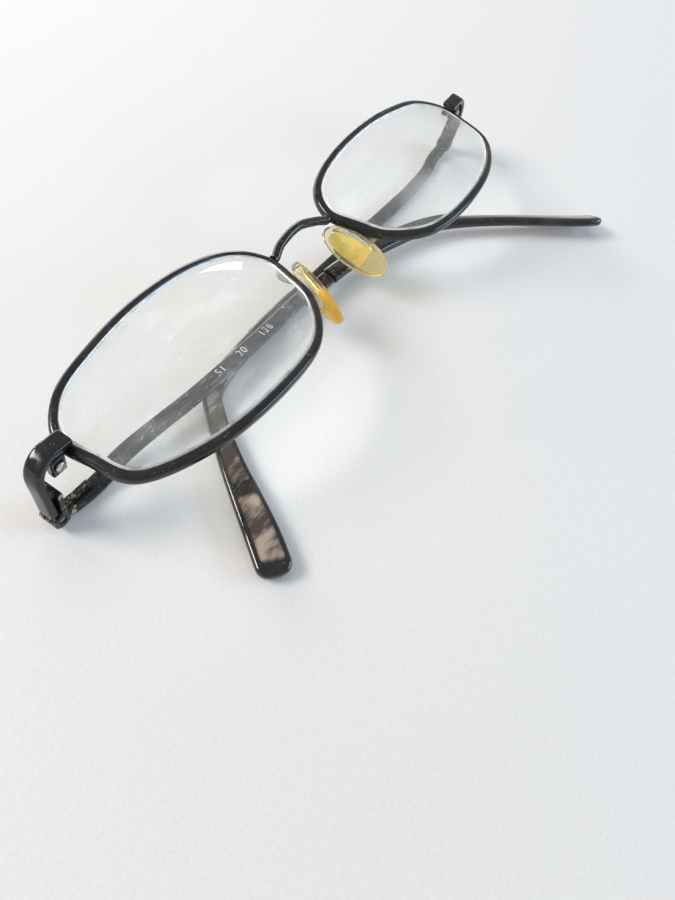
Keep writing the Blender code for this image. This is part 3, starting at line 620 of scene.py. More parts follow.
def laid(point: Vector) -> Vector:
    """Return the world place in metres of a front-frame place in millimetres."""
    return LYING @ (Vector(point) * MM)


def spline(points: Sequence[Vector], count: int, closed: bool = False) -> list[Vector]:
    """Return points on a smooth curve through the given points.

    Args:
        points: The points to pass through.
        count: How many points to return.
        closed: True for a closed curve.

    Returns:
        Points at even steps of the curve's own parameter.
    """
    run = [Vector(point) for point in points]
    spans = len(run) if closed else len(run) - 1
    made = []
    for step in range(count):
        place = step / count * spans if closed else step / (count - 1) * spans
        span = min(int(place), spans - 1)
        part = place - span
        corners = []
        for index in range(span - 1, span + 3):
            if closed:
                corners.append(run[index % len(run)])
            elif index < 0:
                corners.append(run[0] * 2 - run[1])
            elif index > spans:
                corners.append(run[-1] * 2 - run[-2])
            else:
                corners.append(run[index])
        before, first, second, after = corners
        made.append(0.5 * (
            2 * first + (second - before) * part
            + (2 * before - 5 * first + 4 * second - after) * part ** 2
            + (3 * first - before - 3 * second + after) * part ** 3))
    return made


def even(points: Sequence[Vector], count: int) -> list[Vector]:
    """Return points at even distances along a run.

    Args:
        points: The run of points.
        count: How many points to return.

    Returns:
        The evenly spaced points.
    """
    lengths = [0.0]
    for first, second in zip(points, points[1:]):
        lengths.append(lengths[-1] + (second - first).length)
    made = []
    span = 0
    for step in range(count):
        goal = lengths[-1] * step / (count - 1)
        while span < len(points) - 2 and lengths[span + 1] < goal:
            span += 1
        part = (goal - lengths[span]) / (lengths[span + 1] - lengths[span])
        made.append(points[span].lerp(points[span + 1], min(max(part, 0.0), 1.0)))
    return made


def ease(share: float) -> float:
    """Return a smooth step between 0 and 1."""
    share = min(max(share, 0.0), 1.0)
    return share * share * (3 - 2 * share)


def rounded(half_width: float, half_thickness: float, count: int, squareness: float) -> Pairs:
    """Return a rounded rectangle.

    Args:
        half_width: Half its width.
        half_thickness: Half its thickness.
        count: Number of corners.
        squareness: 2 for an ellipse, higher for squarer.

    Returns:
        (width, thickness) pairs.
    """
    made = []
    for step in range(count):
        turn = 2 * math.pi * (step + 0.5) / count
        across = math.copysign(abs(math.cos(turn)) ** (2 / squareness), math.cos(turn))
        through = math.copysign(abs(math.sin(turn)) ** (2 / squareness), math.sin(turn))
        made.append((half_width * across, half_thickness * through))
    return made


@dataclass
class Station:
    """One cross-section of a swept piece: its middle and its two directions."""

    place: Vector
    along: Vector
    width: Vector
    thickness: Vector

    def ring(self, pairs: Pairs, roll: float = 0.0, shrink: float = 0.0, push: float = 0.0) -> list[Vector]:
        """Return the section's corners.

        Args:
            pairs: (width, thickness) pairs.
            roll: Turn about the path, in radians.
            shrink: Distance by which the section is drawn in.
            push: Distance by which the ring moves along the path.

        Returns:
            The ring of corner places.
        """
        turn = Matrix.Rotation(roll, 3, self.along)
        across, through = turn @ self.width, turn @ self.thickness
        reach = max(max(abs(pair[0]), abs(pair[1])) for pair in pairs)
        share = 1.0 - shrink / reach
        middle = self.place + self.along * push
        return [middle + across * pair[0] * share + through * pair[1] * share for pair in pairs]


def stations(points: Sequence[Vector]) -> list[Station]:
    """Return the stations of a path, whose width stays as upright as it can.

    Args:
        points: The path.

    Returns:
        One station for each point.
    """
    made = []
    last = len(points) - 1
    for index, place in enumerate(points):
        along = (points[min(index + 1, last)] - points[max(index - 1, 0)]).normalized()
        thickness = along.cross(UPWARD).normalized()
        made.append(Station(place, along, thickness.cross(along).normalized(), thickness))
    return made


@dataclass
class Half:
    """One half of the glasses, straight or bent about its lens centre."""

    side: Side
    bend: tuple[float, float, float]
    pivot: float = 35.3
    matrix: Matrix = field(init=False)

    def __post_init__(self) -> None:
        """Work out the half's bend."""
        turn = Matrix.Identity(4)
        for angle, axis in zip(self.bend, "XYZ"):
            turn = Matrix.Rotation(math.radians(angle), 4, axis) @ turn
        centre = Vector((self.pivot, 0.0, 0.0))
        self.matrix = Matrix.Translation(centre) @ turn @ Matrix.Translation(-centre)

    def place(self, point: Sequence[float]) -> Vector:
        """Return the front-frame place of an (outward, up, front) point."""
        return self.matrix @ Vector((self.side.value * point[0], point[1], point[2]))

    def unplace(self, point: Sequence[float]) -> Vector:
        """Return the (outward, up, front) point of a place on the bent front."""
        straight = self.matrix.inverted() @ Vector((self.side.value * point[0], point[1], point[2]))
        return Vector((self.side.value * straight.x, straight.y, straight.z))

    def world(self, point: Sequence[float]) -> Vector:
        """Return the world place of an (outward, up, front) point."""
        return laid(self.place(point))


# Meshes


def join_rows(made: bmesh.types.BMesh, rows: Sequence[Sequence[bmesh.types.BMVert]]) -> None:
    """Join rows of corners into a tube and close both its ends.

    Args:
        made: The bmesh that holds the corners.
        rows: Rows of equal size, from one end to the other.
    """
    for near_row, far_row in zip(rows, rows[1:]):
        for index in range(len(near_row)):
            after = (index + 1) % len(near_row)
            made.faces.new((near_row[index], near_row[after], far_row[after], far_row[index]))
    made.faces.new(list(reversed(rows[0])))
    made.faces.new(rows[-1])


def skin(name: str, rings: Sequence[Sequence[Vector]], finish: bpy.types.Material,
         sharp: float) -> bpy.types.Object:
    """Make a closed mesh over rings of world places.

    Args:
        name: The piece's name.
        rings: Rings of equal size.
        finish: The piece's material.
        sharp: Angle in degrees above which an edge stays sharp.

    Returns:
        The new object, at the origin.
    """
    made = bmesh.new()
    rows = [[made.verts.new(point) for point in ring] for ring in rings]
    join_rows(made, rows)
    return as_object(name, made, finish, sharp)


def as_object(name: str, made: bmesh.types.BMesh, finish: bpy.types.Material,
              sharp: float) -> bpy.types.Object:
    """Turn a bmesh in world places into an object.

    Args:
        name: The piece's name.
        made: The bmesh, freed here.
        finish: The piece's material.
        sharp: Angle in degrees above which an edge stays sharp.

    Returns:
        The new object, at the origin.
    """
    made.normal_update()
    bmesh.ops.recalc_face_normals(made, faces=made.faces)
    mesh = bpy.data.meshes.new(name)
    made.to_mesh(mesh)
    made.free()
    mesh.materials.append(finish)
    mesh.shade_smooth()
    mesh.set_sharp_from_angle(angle=math.radians(sharp))
    item = bpy.data.objects.new(name, mesh)
    bpy.context.scene.collection.objects.link(item)
    return item


def chamfered(run: Sequence[Station], pairs: Pairs, size: float) -> list[list[Vector]]:
    """Return a sweep's rings with small chamfers at both ends.

    Args:
        run: The stations.
        pairs: The section's (width, thickness) pairs.
        size: The chamfer's size.

    Returns:
        The rings.
    """
    last = len(run) - 1
    rings = []
    for index, station in enumerate(run):
        if index == 0:
            for step in (1.0, 0.45, 0.12):
                rings.append(station.ring(pairs, 0.0, size * step, size * (1 - step) * 0.7))
        elif index == last:
            for step in (0.12, 0.45, 1.0):
                rings.append(station.ring(pairs, 0.0, size * step, -size * (1 - step) * 0.7))
        else:
            rings.append(station.ring(pairs))
    return rings


def box_mesh(made: bmesh.types.BMesh, low: Sequence[float], high: Sequence[float], bevel: float) -> None:
    """Add a bevelled box to a bmesh.

    Args:
        made: The bmesh.
        low: Its lowest corner.
        high: Its highest corner.
        bevel: The bevel's size.
    """
    part = bmesh.new()
    bmesh.ops.create_cube(part, size=1.0)
    for corner in part.verts:
        corner.co = Vector([low[k] + (high[k] - low[k]) * (corner.co[k] + 0.5) for k in range(3)])
    bmesh.ops.bevel(part, geom=part.edges[:] + part.verts[:], offset=bevel, segments=3,
                    profile=0.6, affect="EDGES")
    mesh = bpy.data.meshes.new("box")
    part.to_mesh(mesh)
    part.free()
    made.from_mesh(mesh)
    bpy.data.meshes.remove(mesh)


# Node trees for wires, screws and dust


class Tree:
    """A Geometry Nodes tree with named inputs, whose result is kept as a plain mesh."""

    def __init__(self, name: str, inputs: dict[str, str]) -> None:
        """Start a tree.

        Args:
            name: The tree's name.
            inputs: Socket types by input name.
        """
        self.tree = bpy.data.node_groups.new(name, "GeometryNodeTree")
        self.tree.interface.new_socket("Geometry", in_out="INPUT", socket_type="NodeSocketGeometry")
        self.ids: dict[str, str] = {}
        for label, kind in inputs.items():
            socket = self.tree.interface.new_socket(label, in_out="INPUT", socket_type=kind)
            self.ids[label] = socket.identifier
        self.tree.interface.new_socket("Geometry", in_out="OUTPUT", socket_type="NodeSocketGeometry")
        self.start = self.tree.nodes.new("NodeGroupInput")
        self.end = self.tree.nodes.new("NodeGroupOutput")

    def node(self, kind: str, links: dict[object, object] | None = None,
             **settings: object) -> bpy.types.Node:
        """Add a node.

        Args:
            kind: The node's type.
            links: Values or sockets by input name or number.
            settings: Properties of the node.

        Returns:
            The new node.
        """
        made = self.tree.nodes.new(kind)
        for key, value in settings.items():
            setattr(made, key, value)
        for key, value in (links or {}).items():
            if isinstance(value, bpy.types.NodeSocket):
                self.tree.links.new(value, made.inputs[key])
            else:
                made.inputs[key].default_value = value
        return made

    def close(self, geometry: bpy.types.NodeSocket) -> None:
        """End the tree with smooth shading, real instances and the material.

        Args:
            geometry: The socket that holds the finished geometry.
        """
        smooth = self.node("GeometryNodeSetShadeSmooth", {"Geometry": geometry})
        real = self.node("GeometryNodeRealizeInstances", {"Geometry": smooth.outputs[0]})
        done = self.node("GeometryNodeSetMaterial", {
            "Geometry": real.outputs[0], "Material": self.start.outputs["Material"]})
        self.tree.links.new(done.outputs[0], self.end.inputs[0])

    def grow(self, name: str, source: bpy.types.Object, values: dict[str, object],
             sharp: float = 50.0) -> bpy.types.Object:
        """Run the tree on a source object and keep the result as a plain mesh.

        Args:
            name: The piece's name.
            source: The object that the tree starts from, removed here.
            values: The tree's inputs.
            sharp: Angle in degrees above which an edge stays sharp.

        Returns:
            The new object, at the origin.
        """
        change = source.modifiers.new("tree", "NODES")
        change.node_group = self.tree
        for label, value in values.items():
            change[self.ids[label]] = value
        graph = bpy.context.evaluated_depsgraph_get()
        mesh = bpy.data.meshes.new_from_object(source.evaluated_get(graph), depsgraph=graph)
        mesh.name = name
        mesh.set_sharp_from_angle(angle=math.radians(sharp))
        source.modifiers.remove(change)
        bpy.data.objects.remove(source, do_unlink=True)
        made = bpy.data.objects.new(name, mesh)
        bpy.context.scene.collection.objects.link(made)
        return made


def polyline(points: Sequence[Vector]) -> bpy.types.Object:
    """Make a temporary object whose edges run through world places.

    Args:
        points: The places.

    Returns:
        The new object.
    """
    mesh = bpy.data.meshes.new("line")
    mesh.from_pydata([tuple(point) for point in points], [(k, k + 1) for k in range(len(points) - 1)], [])
    item = bpy.data.objects.new("line", mesh)
    bpy.context.scene.collection.objects.link(item)
    return item


def wire_tree() -> Tree:
    """Make the tree that sweeps a round wire along a line.

    Returns:
        The new tree.
    """
    tree = Tree("drawn_wire", {"Radius": "NodeSocketFloat", "Sides": "NodeSocketInt",
                               "Material": "NodeSocketMaterial"})
    curve = tree.node("GeometryNodeMeshToCurve", {"Mesh": tree.start.outputs["Geometry"]})
    swell = tree.node("GeometryNodeInputNamedAttribute", {"Name": "swell"}, data_type="FLOAT")
    curve = tree.node("GeometryNodeSetCurveRadius", {
        "Curve": curve.outputs[0], "Radius": swell.outputs[0]})
    circle = tree.node("GeometryNodeCurvePrimitiveCircle", {
        "Resolution": tree.start.outputs["Sides"], "Radius": tree.start.outputs["Radius"]})
    swept = tree.node("GeometryNodeCurveToMesh", {
        "Curve": curve.outputs[0], "Profile Curve": circle.outputs[0], "Fill Caps": True})
    tree.close(swept.outputs[0])
    return tree


def screw_tree() -> Tree:
    """Make the tree that sets a screw at each point, with its own turn and size.

    Returns:
        The new tree.
    """
    tree = Tree("small_screws", {"Pattern": "NodeSocketObject", "Material": "NodeSocketMaterial"})
    pattern = tree.node("GeometryNodeObjectInfo", {"Object": tree.start.outputs["Pattern"]})
    turn = tree.node("GeometryNodeInputNamedAttribute", {"Name": "turn"}, data_type="FLOAT_VECTOR")
    size = tree.node("GeometryNodeInputNamedAttribute", {"Name": "size"}, data_type="FLOAT_VECTOR")
    rotation = tree.node("FunctionNodeEulerToRotation", {0: turn.outputs[0]})
    points = tree.node("GeometryNodeInstanceOnPoints", {
        "Points": tree.start.outputs["Geometry"], "Instance": pattern.outputs["Geometry"],
        "Rotation": rotation.outputs[0], "Scale": size.outputs[0]})
    tree.close(points.outputs[0])
    return tree


def dust_tree() -> Tree:
    """Make the tree that scatters flattened grains over a surface.

    Returns:
        The new tree.
    """
    tree = Tree("settled_dust", {
        "Density": "NodeSocketFloat", "Seed": "NodeSocketInt", "Smallest": "NodeSocketFloat",
        "Largest": "NodeSocketFloat", "Material": "NodeSocketMaterial"})
    spread = tree.node("GeometryNodeDistributePointsOnFaces", {
        "Mesh": tree.start.outputs["Geometry"], "Density": tree.start.outputs["Density"],
        "Seed": tree.start.outputs["Seed"]}, distribute_method="RANDOM")
    grain = tree.node("GeometryNodeMeshIcoSphere", {"Radius": 1.0, "Subdivisions": 1})
    flat = tree.node("GeometryNodeTransform", {"Geometry": grain.outputs[0], "Scale": (1.0, 0.7, 0.35)})
    sizes = tree.node("FunctionNodeRandomValue", {
        2: tree.start.outputs["Smallest"], 3: tree.start.outputs["Largest"],
        "Seed": tree.start.outputs["Seed"]}, data_type="FLOAT")
    points = tree.node("GeometryNodeInstanceOnPoints", {
        "Points": spread.outputs["Points"], "Instance": flat.outputs[0],
        "Rotation": spread.outputs["Rotation"], "Scale": sizes.outputs[1]})
    tree.close(points.outputs[0])
    return tree


# The glasses' own pieces


@dataclass
class Outline:
    """The lens shape shared by the rims and lenses, and the front's curve."""

    width: float = 50.6
    height: float = 28.0
    spacing: float = 20.0
    base_radius: float = 94.0
    wrap: float = 0.9
    shares: Pairs = field(default_factory=lambda: [
        (1.00, 0.44), (0.79, 0.78), (0.45, 0.91), (0.01, 0.99), (-0.49, 0.97), (-0.84, 0.81),
        (-1.00, 0.44), (-0.96, 0.02), (-0.85, -0.46), (-0.52, -0.90), (0.01, -1.00),
        (0.53, -0.87), (0.92, -0.51), (1.00, 0.00)])

    @property
    def middle(self) -> float:
        """Outward place of the lens centre."""
        return self.spacing / 2 + self.width / 2

    def sag(self, out: float, up: float) -> float:
        """Return the front place of the lens surface.

        Args:
            out: Outward place.
            up: Upward place.

        Returns:
            The front place.
        """
        across = out - self.middle
        return (-(across ** 2 + up ** 2) / (2 * self.base_radius)
                - math.tan(math.radians(self.wrap)) * across)

    def run(self, count: int) -> list[tuple[Vector, Vector]]:
        """Return the closed outline.

        Args:
            count: Number of places.

        Returns:
            (place, inward direction) pairs at even distances.
        """
        curve = spline([Vector((x, y, 0.0)) for x, y in self.shares], 1800, closed=True)
        curve.append(curve[0].copy())
        low_x, high_x = min(p.x for p in curve), max(p.x for p in curve)
        low_y, high_y = min(p.y for p in curve), max(p.y for p in curve)
        for point in curve:
            point.x = self.middle + self.width * ((point.x - low_x) / (high_x - low_x) - 0.5)
            point.y = self.height * ((point.y - low_y) / (high_y - low_y) - 0.5)
        curve = even(curve, count + 1)[:-1]
        made = []
        for index, place in enumerate(curve):
            along = (curve[(index + 1) % count] - curve[index - 1]).normalized()
            inward = Vector((along.y, -along.x, 0.0))
            if inward.dot(Vector((self.middle, 0.0, 0.0)) - place) < 0:
                inward.negate()
            made.append((place, inward))
        return made


@dataclass
class Rims:
    """The two lens rims: rounded wire with a groove, split beside the end piece."""

    outline: Outline
    width: float = 1.4
    depth: float = 1.75
    groove_depth: float = 0.45
    groove_width: float = 1.3
    split_gap: float = 0.3
    split_up: float = 4.4
    count: int = 240

    def section(self) -> Pairs:
        """Work out the wire's section, round outside and grooved inside.

        Returns:
            (inward, front) pairs.
        """
        half, deep = self.width / 2, self.depth / 2
        made = [(half, self.groove_width / 2), (half, deep * 0.80), (half * 0.86, deep * 0.92)]
        for step in range(19):
            turn = math.radians(72 + (288 - 72) * step / 18)
            across = math.copysign(abs(math.cos(turn)) ** 0.78, math.cos(turn))
            through = math.copysign(abs(math.sin(turn)) ** 0.62, math.sin(turn))
            made.append((half * across, deep * through))
        made += [(half * 0.86, -deep * 0.92), (half, -deep * 0.80), (half, -self.groove_width / 2),
                 (half - self.groove_depth, 0.0)]
        return made

    def build(self, half: Half, finish: bpy.types.Material) -> bpy.types.Object:
        """Build one rim over its solid.

        Args:
            half: The half that it belongs to.
            finish: The rim's material.

        Returns:
            The new piece.
        """
        run = self.outline.run(self.count)
        split = min(range(self.count), key=lambda k: abs(run[k][0].y - self.split_up)
                    + (0 if run[k][0].x > self.outline.middle else 99))
        order = [run[(split + k) % self.count] for k in range(self.count)]
        rings = []
        for index in range(self.count + 1):
            place, inward = order[index % self.count]
            if index in (0, self.count):
                beside = order[1][0] if index == 0 else order[-1][0]
                place = place.lerp(beside, self.split_gap / 2 / (beside - place).length)
            ring = []
            for across, through in self.section():
                point = place + inward * across
                ring.append(half.world((point.x, point.y, self.outline.sag(point.x, point.y) + through)))
            rings.append(ring)
        piece = skin(f"{half.side.word}_rim_wire", rings, finish, sharp=50)
        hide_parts(f"{half.side.word}_rim")
        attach(piece, Body.FRONT.value)
        return piece


@dataclass
class Lenses:
    """The two lenses: a curved clear face with a ground bevel that sits in the rim."""

    outline: Outline
    edge: float = 1.7
    centre: float = 1.4
    face_inset: float = 1.14
    rim_inset: float = 0.78
    ridge_inset: float = 0.48
    count: int = 240
    steps: int = 16

    def build(self, half: Half, clear: bpy.types.Material, ground: bpy.types.Material) -> bpy.types.Object:
        """Build one lens over its solid.

        Args:
            half: The half that it belongs to.
            clear: Material of the faces.
            ground: Material of the bevel.

        Returns:
            The new piece.
        """
        run = self.outline.run(self.count)
        middle = Vector((self.outline.middle, 0.0, 0.0))
        shares = [(k + 0.35) / (self.steps - 0.65) for k in range(self.steps)]

        def face(share: float, sign: int, inset: float, drop: float = 0.0) -> list[Vector]:
            """Work out one ring on the front or back face.

            Args:
                share: Share of the way from the lens centre to its edge.
                sign: 1 for the front face, -1 for the back.
                inset: Distance of the face's edge from the rim's centre line.
                drop: Distance by which the ring lies below the face.

            Returns:
                The ring of world places.
            """
            ring = []
            for place, inward in run:
                point = middle.lerp(place + inward * inset, share)
                thickness = self.centre + (self.edge - self.centre) * share ** 2
                front = self.outline.sag(point.x, point.y) + sign * (thickness / 2 - drop)
                ring.append(half.world((point.x, point.y, front)))
            return ring

        ridge = []
        for place, inward in run:
            point = place + inward * self.ridge_inset
            ridge.append(half.world((point.x, point.y, self.outline.sag(point.x, point.y))))
        rings = [face(share, 1, self.face_inset) for share in shares]
        rings += [face(1.0, 1, self.face_inset - 0.06, 0.02), face(1.0, 1, self.rim_inset, 0.30), ridge,
                  face(1.0, -1, self.rim_inset, 0.30), face(1.0, -1, self.face_inset - 0.06, 0.02)]
        rings += [face(share, -1, self.face_inset) for share in reversed(shares)]
        piece = skin(f"{half.side.word}_lens_plastic", rings, clear, sharp=10)
        piece.data.materials.append(ground)
        bevel = range(self.steps * self.count, (self.steps + 4) * self.count)
        for index in bevel:
            piece.data.polygons[index].material_index = 1
        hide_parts(f"{half.side.word}_lens")
        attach(piece, Body.FRONT.value)
        return piece


@dataclass
class Bridge:
    """The arched bridge wire, brazed to both rims."""

    outline: Outline
    thickness: float = 1.7
    height: float = 5.4
    rise: float = 1.1
    forward: float = 1.6
    rim_width: float = 1.6
    seat_gap: float = 0.05
    swell: float = 0.22

    def path(self, right: Half, left: Half) -> list[Vector]:
        """Work out the bridge's places from rim to rim.

        Args:
            right: The right half.
            left: The left half.

        Returns:
            The world places.
        """
        inner = self.outline.middle - self.outline.width / 2
        reach = inner - self.rim_width / 2 - self.seat_gap
        sag = self.outline.sag(inner, self.height)
        ends = []
        for half in (right, left):
            ends.append([
                half.place((reach, self.height, sag)),
                half.place((reach - self.thickness / 2, self.height, sag)),
                half.place((reach * 0.6, self.height + self.rise * 0.75, sag + self.forward * 0.7))])
        top = Vector((0.0, self.height + self.rise, sag + self.forward))
        return [laid(p) for p in spline(ends[0] + [top] + list(reversed(ends[1])), 90)]

    def build(self, right: Half, left: Half, tree: Tree, finish: bpy.types.Material) -> bpy.types.Object:
        """Build the bridge over its solid.

        Args:
            right: The right half.
            left: The left half.
            tree: The wire tree.
            finish: The bridge's material.

        Returns:
            The new piece.
        """
        points = self.path(right, left)
        line = polyline(points)
        swell = line.data.attributes.new("swell", "FLOAT", "POINT")
        for index in range(len(points)):
            near = min(index, len(points) - 1 - index)
            swell.data[index].value = 1.0 + self.swell * max(0.0, 1.0 - near / 7.0) ** 2
        piece = tree.grow("bridge_wire", line, {
            "Radius": self.thickness / 2 * MM, "Sides": 28, "Material": finish})
        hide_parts("bridge")
        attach(piece, Body.FRONT.value)
        return piece


@dataclass
class EndPieces:
    """The two end pieces: a strip from the rim back to the hinge, with its split closing block."""

    outline: Outline
    half_width: float = 67.3
    strip_width: float = 3.0
    strip_thickness: float = 1.4
    strip_height: float = 4.4
    strip_drop: float = 1.5
    block_length: float = 2.5
    block_depth: float = 3.8
    rim_width: float = 1.6
    rim_depth: float = 2.0
    gap: float = 0.3
    pin_back: float = PIN_BACK
    knuckle_radius: float = 1.55

    def strip_front(self) -> float:
        """Work out where the strip's centre line lies at the rim.

        Returns:
            The front place.
        """
        root = self.outline.middle + self.outline.width / 2
        return (self.outline.sag(root, self.strip_height) + self.rim_depth / 2 + self.gap
                + self.strip_thickness / 2)

    def corners(self) -> tuple[Vector, Vector]:
        """Work out the corners of the whole closing block.

        Returns:
            Its lowest and highest corners.
        """
        inner = self.outline.middle + self.outline.width / 2 + self.rim_width / 2 + self.gap
        back = self.strip_front() - self.strip_thickness / 2
        return (Vector((inner, self.strip_height - self.strip_width / 2, back - self.block_depth)),
                Vector((inner + self.block_length, self.strip_height + self.strip_width / 2, back)))

    def strip_run(self) -> list[Vector]:
        """Work out the strip's centre line.

        Returns:
            Evenly spaced places.
        """
        root = self.outline.middle + self.outline.width / 2
        front = self.strip_front()
        out = self.half_width - self.strip_thickness / 2
        end = -self.pin_back + self.knuckle_radius + self.gap
        bend = out - root
        height, drop = self.strip_height, self.strip_drop
        return even(spline([Vector(p) for p in (
            (root - 0.6, height, front - 0.12),
            (root + 0.25 * bend, height, front - 0.04),
            (root + 0.56 * bend, height, front),
            (root + 0.85 * bend, height - 0.1 * drop, front - 0.2 * bend),
            (out, height - 0.3 * drop, front - 0.55 * bend),
            (out, height - 0.65 * drop, (front + end - bend / 2) / 2),
            (out, height - drop, end))], 200), 72)

    def build(self, half: Half, finish: bpy.types.Material) -> list[bpy.types.Object]:
        """Build one end piece and its closing block over their solids.

        Args:
            half: The half that they belong to.
            finish: Their material.

        Returns:
            The end piece and the closing block.
        """
        run = stations(self.strip_run())
        section = rounded(self.strip_width / 2, self.strip_thickness / 2, 32, 4.6)
        rings = chamfered(run, section, 0.16)
        made = bmesh.new()
        rows = [[made.verts.new(point) for point in ring] for ring in rings]
        join_rows(made, rows)
        low, high = self.corners()
        middle = self.strip_height + self.gap / 2
        box_mesh(made, (low.x, middle, low.z), (high.x, high.y, high.z + self.strip_thickness / 2), 0.28)
        for corner in made.verts:
            corner.co = half.world(corner.co)
        strip = as_object(f"{half.side.word}_end_strip", made, finish, 50)
        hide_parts(f"{half.side.word}_end_piece")
        lower = bmesh.new()
        box_mesh(lower, low, (high.x, self.strip_height - self.gap / 2, high.z - self.gap), 0.28)
        for corner in lower.verts:
            corner.co = half.world(corner.co)
        block = as_object(f"{half.side.word}_split_block", lower, finish, 50)
        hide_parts(f"{half.side.word}_closing_block")
        for piece in (strip, block):
            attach(piece, Body.FRONT.value)
        return [strip, block]


@dataclass
class Pad:
    """One nose pad's place and sizes, with its arm."""

    out: float
    down: float
    back: float
    splay: float
    flare: float
    lean: float
    length: float = 14.6
    width: float = 7.2
    thickness: float = 2.3
    plate_upper: float = 5.5
    plate_lower: float = 2.7
    plate_width: float = 4.5
    plate_thickness: float = 0.8
    clearance: float = 0.25
    lug_width: float = 1.0
    lug_height: float = 1.7
    lug_length: float = 1.8
    wire_radius: float = 0.5
    seat_height: float = 3.6
    box_wall: float = 0.5
    box_gap: float = 0.15
    box_end_gap: float = 0.5
    rim_half_depth: float = 1.0
    seat_gap: float = 0.05
    fullness: float = 0.12
    sides: int = 56

    def axes(self) -> tuple[Vector, Vector, Vector, Vector]:
        """Work out how the pad lies.

        Returns:
            Its centre and its length, width and outward-face directions.
        """
        flare, lean, splay = (math.radians(v) for v in (self.flare, self.lean, self.splay))
        length = Vector((-math.sin(flare), math.cos(flare) * math.cos(lean), math.sin(lean))).normalized()
        face = Vector((math.cos(splay), 0.0, math.sin(splay)))
        face = (face - length * face.dot(length)).normalized()
        return Vector((self.out, -self.down, -self.back)), length, face.cross(length).normalized(), face

    def place(self, along: float, across: float, through: float) -> Vector:
        """Return the place of a point given along the pad's own directions."""
        centre, length, width, face = self.axes()
        return centre + length * along + width * across + face * through

    def pivot(self) -> float:
        """Return the pad screw's distance from the pad's centre plane."""
        return self.thickness / 2 + self.lug_height - 0.85

    def screw_outer(self) -> float:
        """Return half the box's width across the pad."""
        return self.lug_width / 2 + self.box_gap + self.box_wall

    def oval(self, half: Half, share: float, through: float) -> list[Vector]:
        """Work out a ring around the pad, fuller at its lower end.

        Args:
            half: The half that it belongs to.
            share: Size of the ring as a share of the pad's own.
            through: Place of the ring along the pad's face direction.

        Returns:
            The ring of world places.
        """
        ring = []
        for step in range(self.sides):
            turn = 2 * math.pi * step / self.sides
            along = self.length / 2 * share * math.cos(turn)
            across = self.width / 2 * share * (1.0 - self.fullness * math.cos(turn)) * math.sin(turn)
            ring.append(half.world(self.place(along, across, through)))
        return ring

    def slab(self, half: Half, grow: float, through: float) -> list[Vector]:
        """Work out a ring of the core plate's shape, cut straight at its lower end.

        Args:
            half: The half that it belongs to.
            grow: Distance by which the ring is wider than the plate.
            through: Place of the ring along the pad's face direction.

        Returns:
            The ring of world places.
        """
        ring = []
        for step in range(self.sides):
            turn = 2 * math.pi * step / self.sides
            cos, sin = math.cos(turn), math.sin(turn)
            power = 2.2 if cos > 0 else 6.0
            reach = self.plate_upper if cos > 0 else self.plate_lower
            along = math.copysign(abs(cos) ** (2 / power), cos) * (reach + grow)
            across = math.copysign(abs(sin) ** (2 / max(power, 2.6)), sin) * (self.plate_width / 2 + grow)
            ring.append(half.world(self.place(along, across, through)))
        return ring

    def soft(self, half: Half, finish: bpy.types.Material) -> bpy.types.Object:
        """Build the silicone body, domed on the nose side, with the plate's pocket behind.

        Args:
            half: The half that it belongs to.
            finish: The silicone's material.

        Returns:
            The new piece.
        """
        deep = self.thickness / 2
        rings = []
        for step in range(13):
            turn = math.radians(7 + 83 * step / 12)
            rings.append(self.oval(half, math.sin(turn), -deep * 0.30 - deep * 0.70 * math.cos(turn) ** 1.2))
        for share, through in ((1.0, 0.20), (0.985, 0.55), (0.95, 0.80), (0.90, 0.94), (0.84, 1.0)):
            rings.append(self.oval(half, share, deep * through))
        floor = deep - self.plate_thickness - 2 * self.clearance
        rings += [self.slab(half, self.clearance + 0.12, deep), self.slab(half, self.clearance, deep - 0.12),
                  self.slab(half, self.clearance, floor)]
        piece = skin(f"{half.side.word}_pad_silicone", rings, finish, sharp=55)
        centre, length, _, _ = self.axes()
        middle, upper = half.world(centre), half.world(centre + length)
        along = (upper - middle).normalized()
        lows = piece.data.attributes.new("low_end", "FLOAT", "POINT")
        for index, corner in enumerate(piece.data.vertices):
            reach = (corner.co - middle).dot(along) / MM
            lows.data[index].value = ease((0.5 - reach) / 4.5)
        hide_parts(f"{half.side.word}_nose_pad")
        return piece

    def plate(self, half: Half, finish: bpy.types.Material) -> bpy.types.Object:
        """Build the pale core plate with the lug that its screw holds.

        Args:
            half: The half that it belongs to.
            finish: The plate's material.

        Returns:
            The new piece.
        """
        top = self.thickness / 2 - self.clearance
        low = top - self.plate_thickness
        made = bmesh.new()
        rows = []
        for grow, through in ((-0.14, low), (-0.03, low + 0.04), (0.0, low + 0.14), (0.0, top - 0.14),
                              (-0.03, top - 0.04), (-0.14, top)):
            rows.append([made.verts.new(point) for point in self.slab(half, grow, through)])
        join_rows(made, rows)
        lug = bmesh.new()
        box_mesh(lug, (-self.lug_length / 2, -self.lug_width / 2, top - self.plate_thickness / 2),
                 (self.lug_length / 2, self.lug_width / 2, self.thickness / 2 + self.lug_height), 0.2)
        for corner in lug.verts:
            corner.co = half.world(self.place(*corner.co))
        mesh = bpy.data.meshes.new("lug")
        lug.to_mesh(mesh)
        lug.free()
        made.from_mesh(mesh)
        bpy.data.meshes.remove(mesh)
        piece = as_object(f"{half.side.word}_pad_core", made, finish, 50)
        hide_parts(f"{half.side.word}_pad_plate")
        return piece

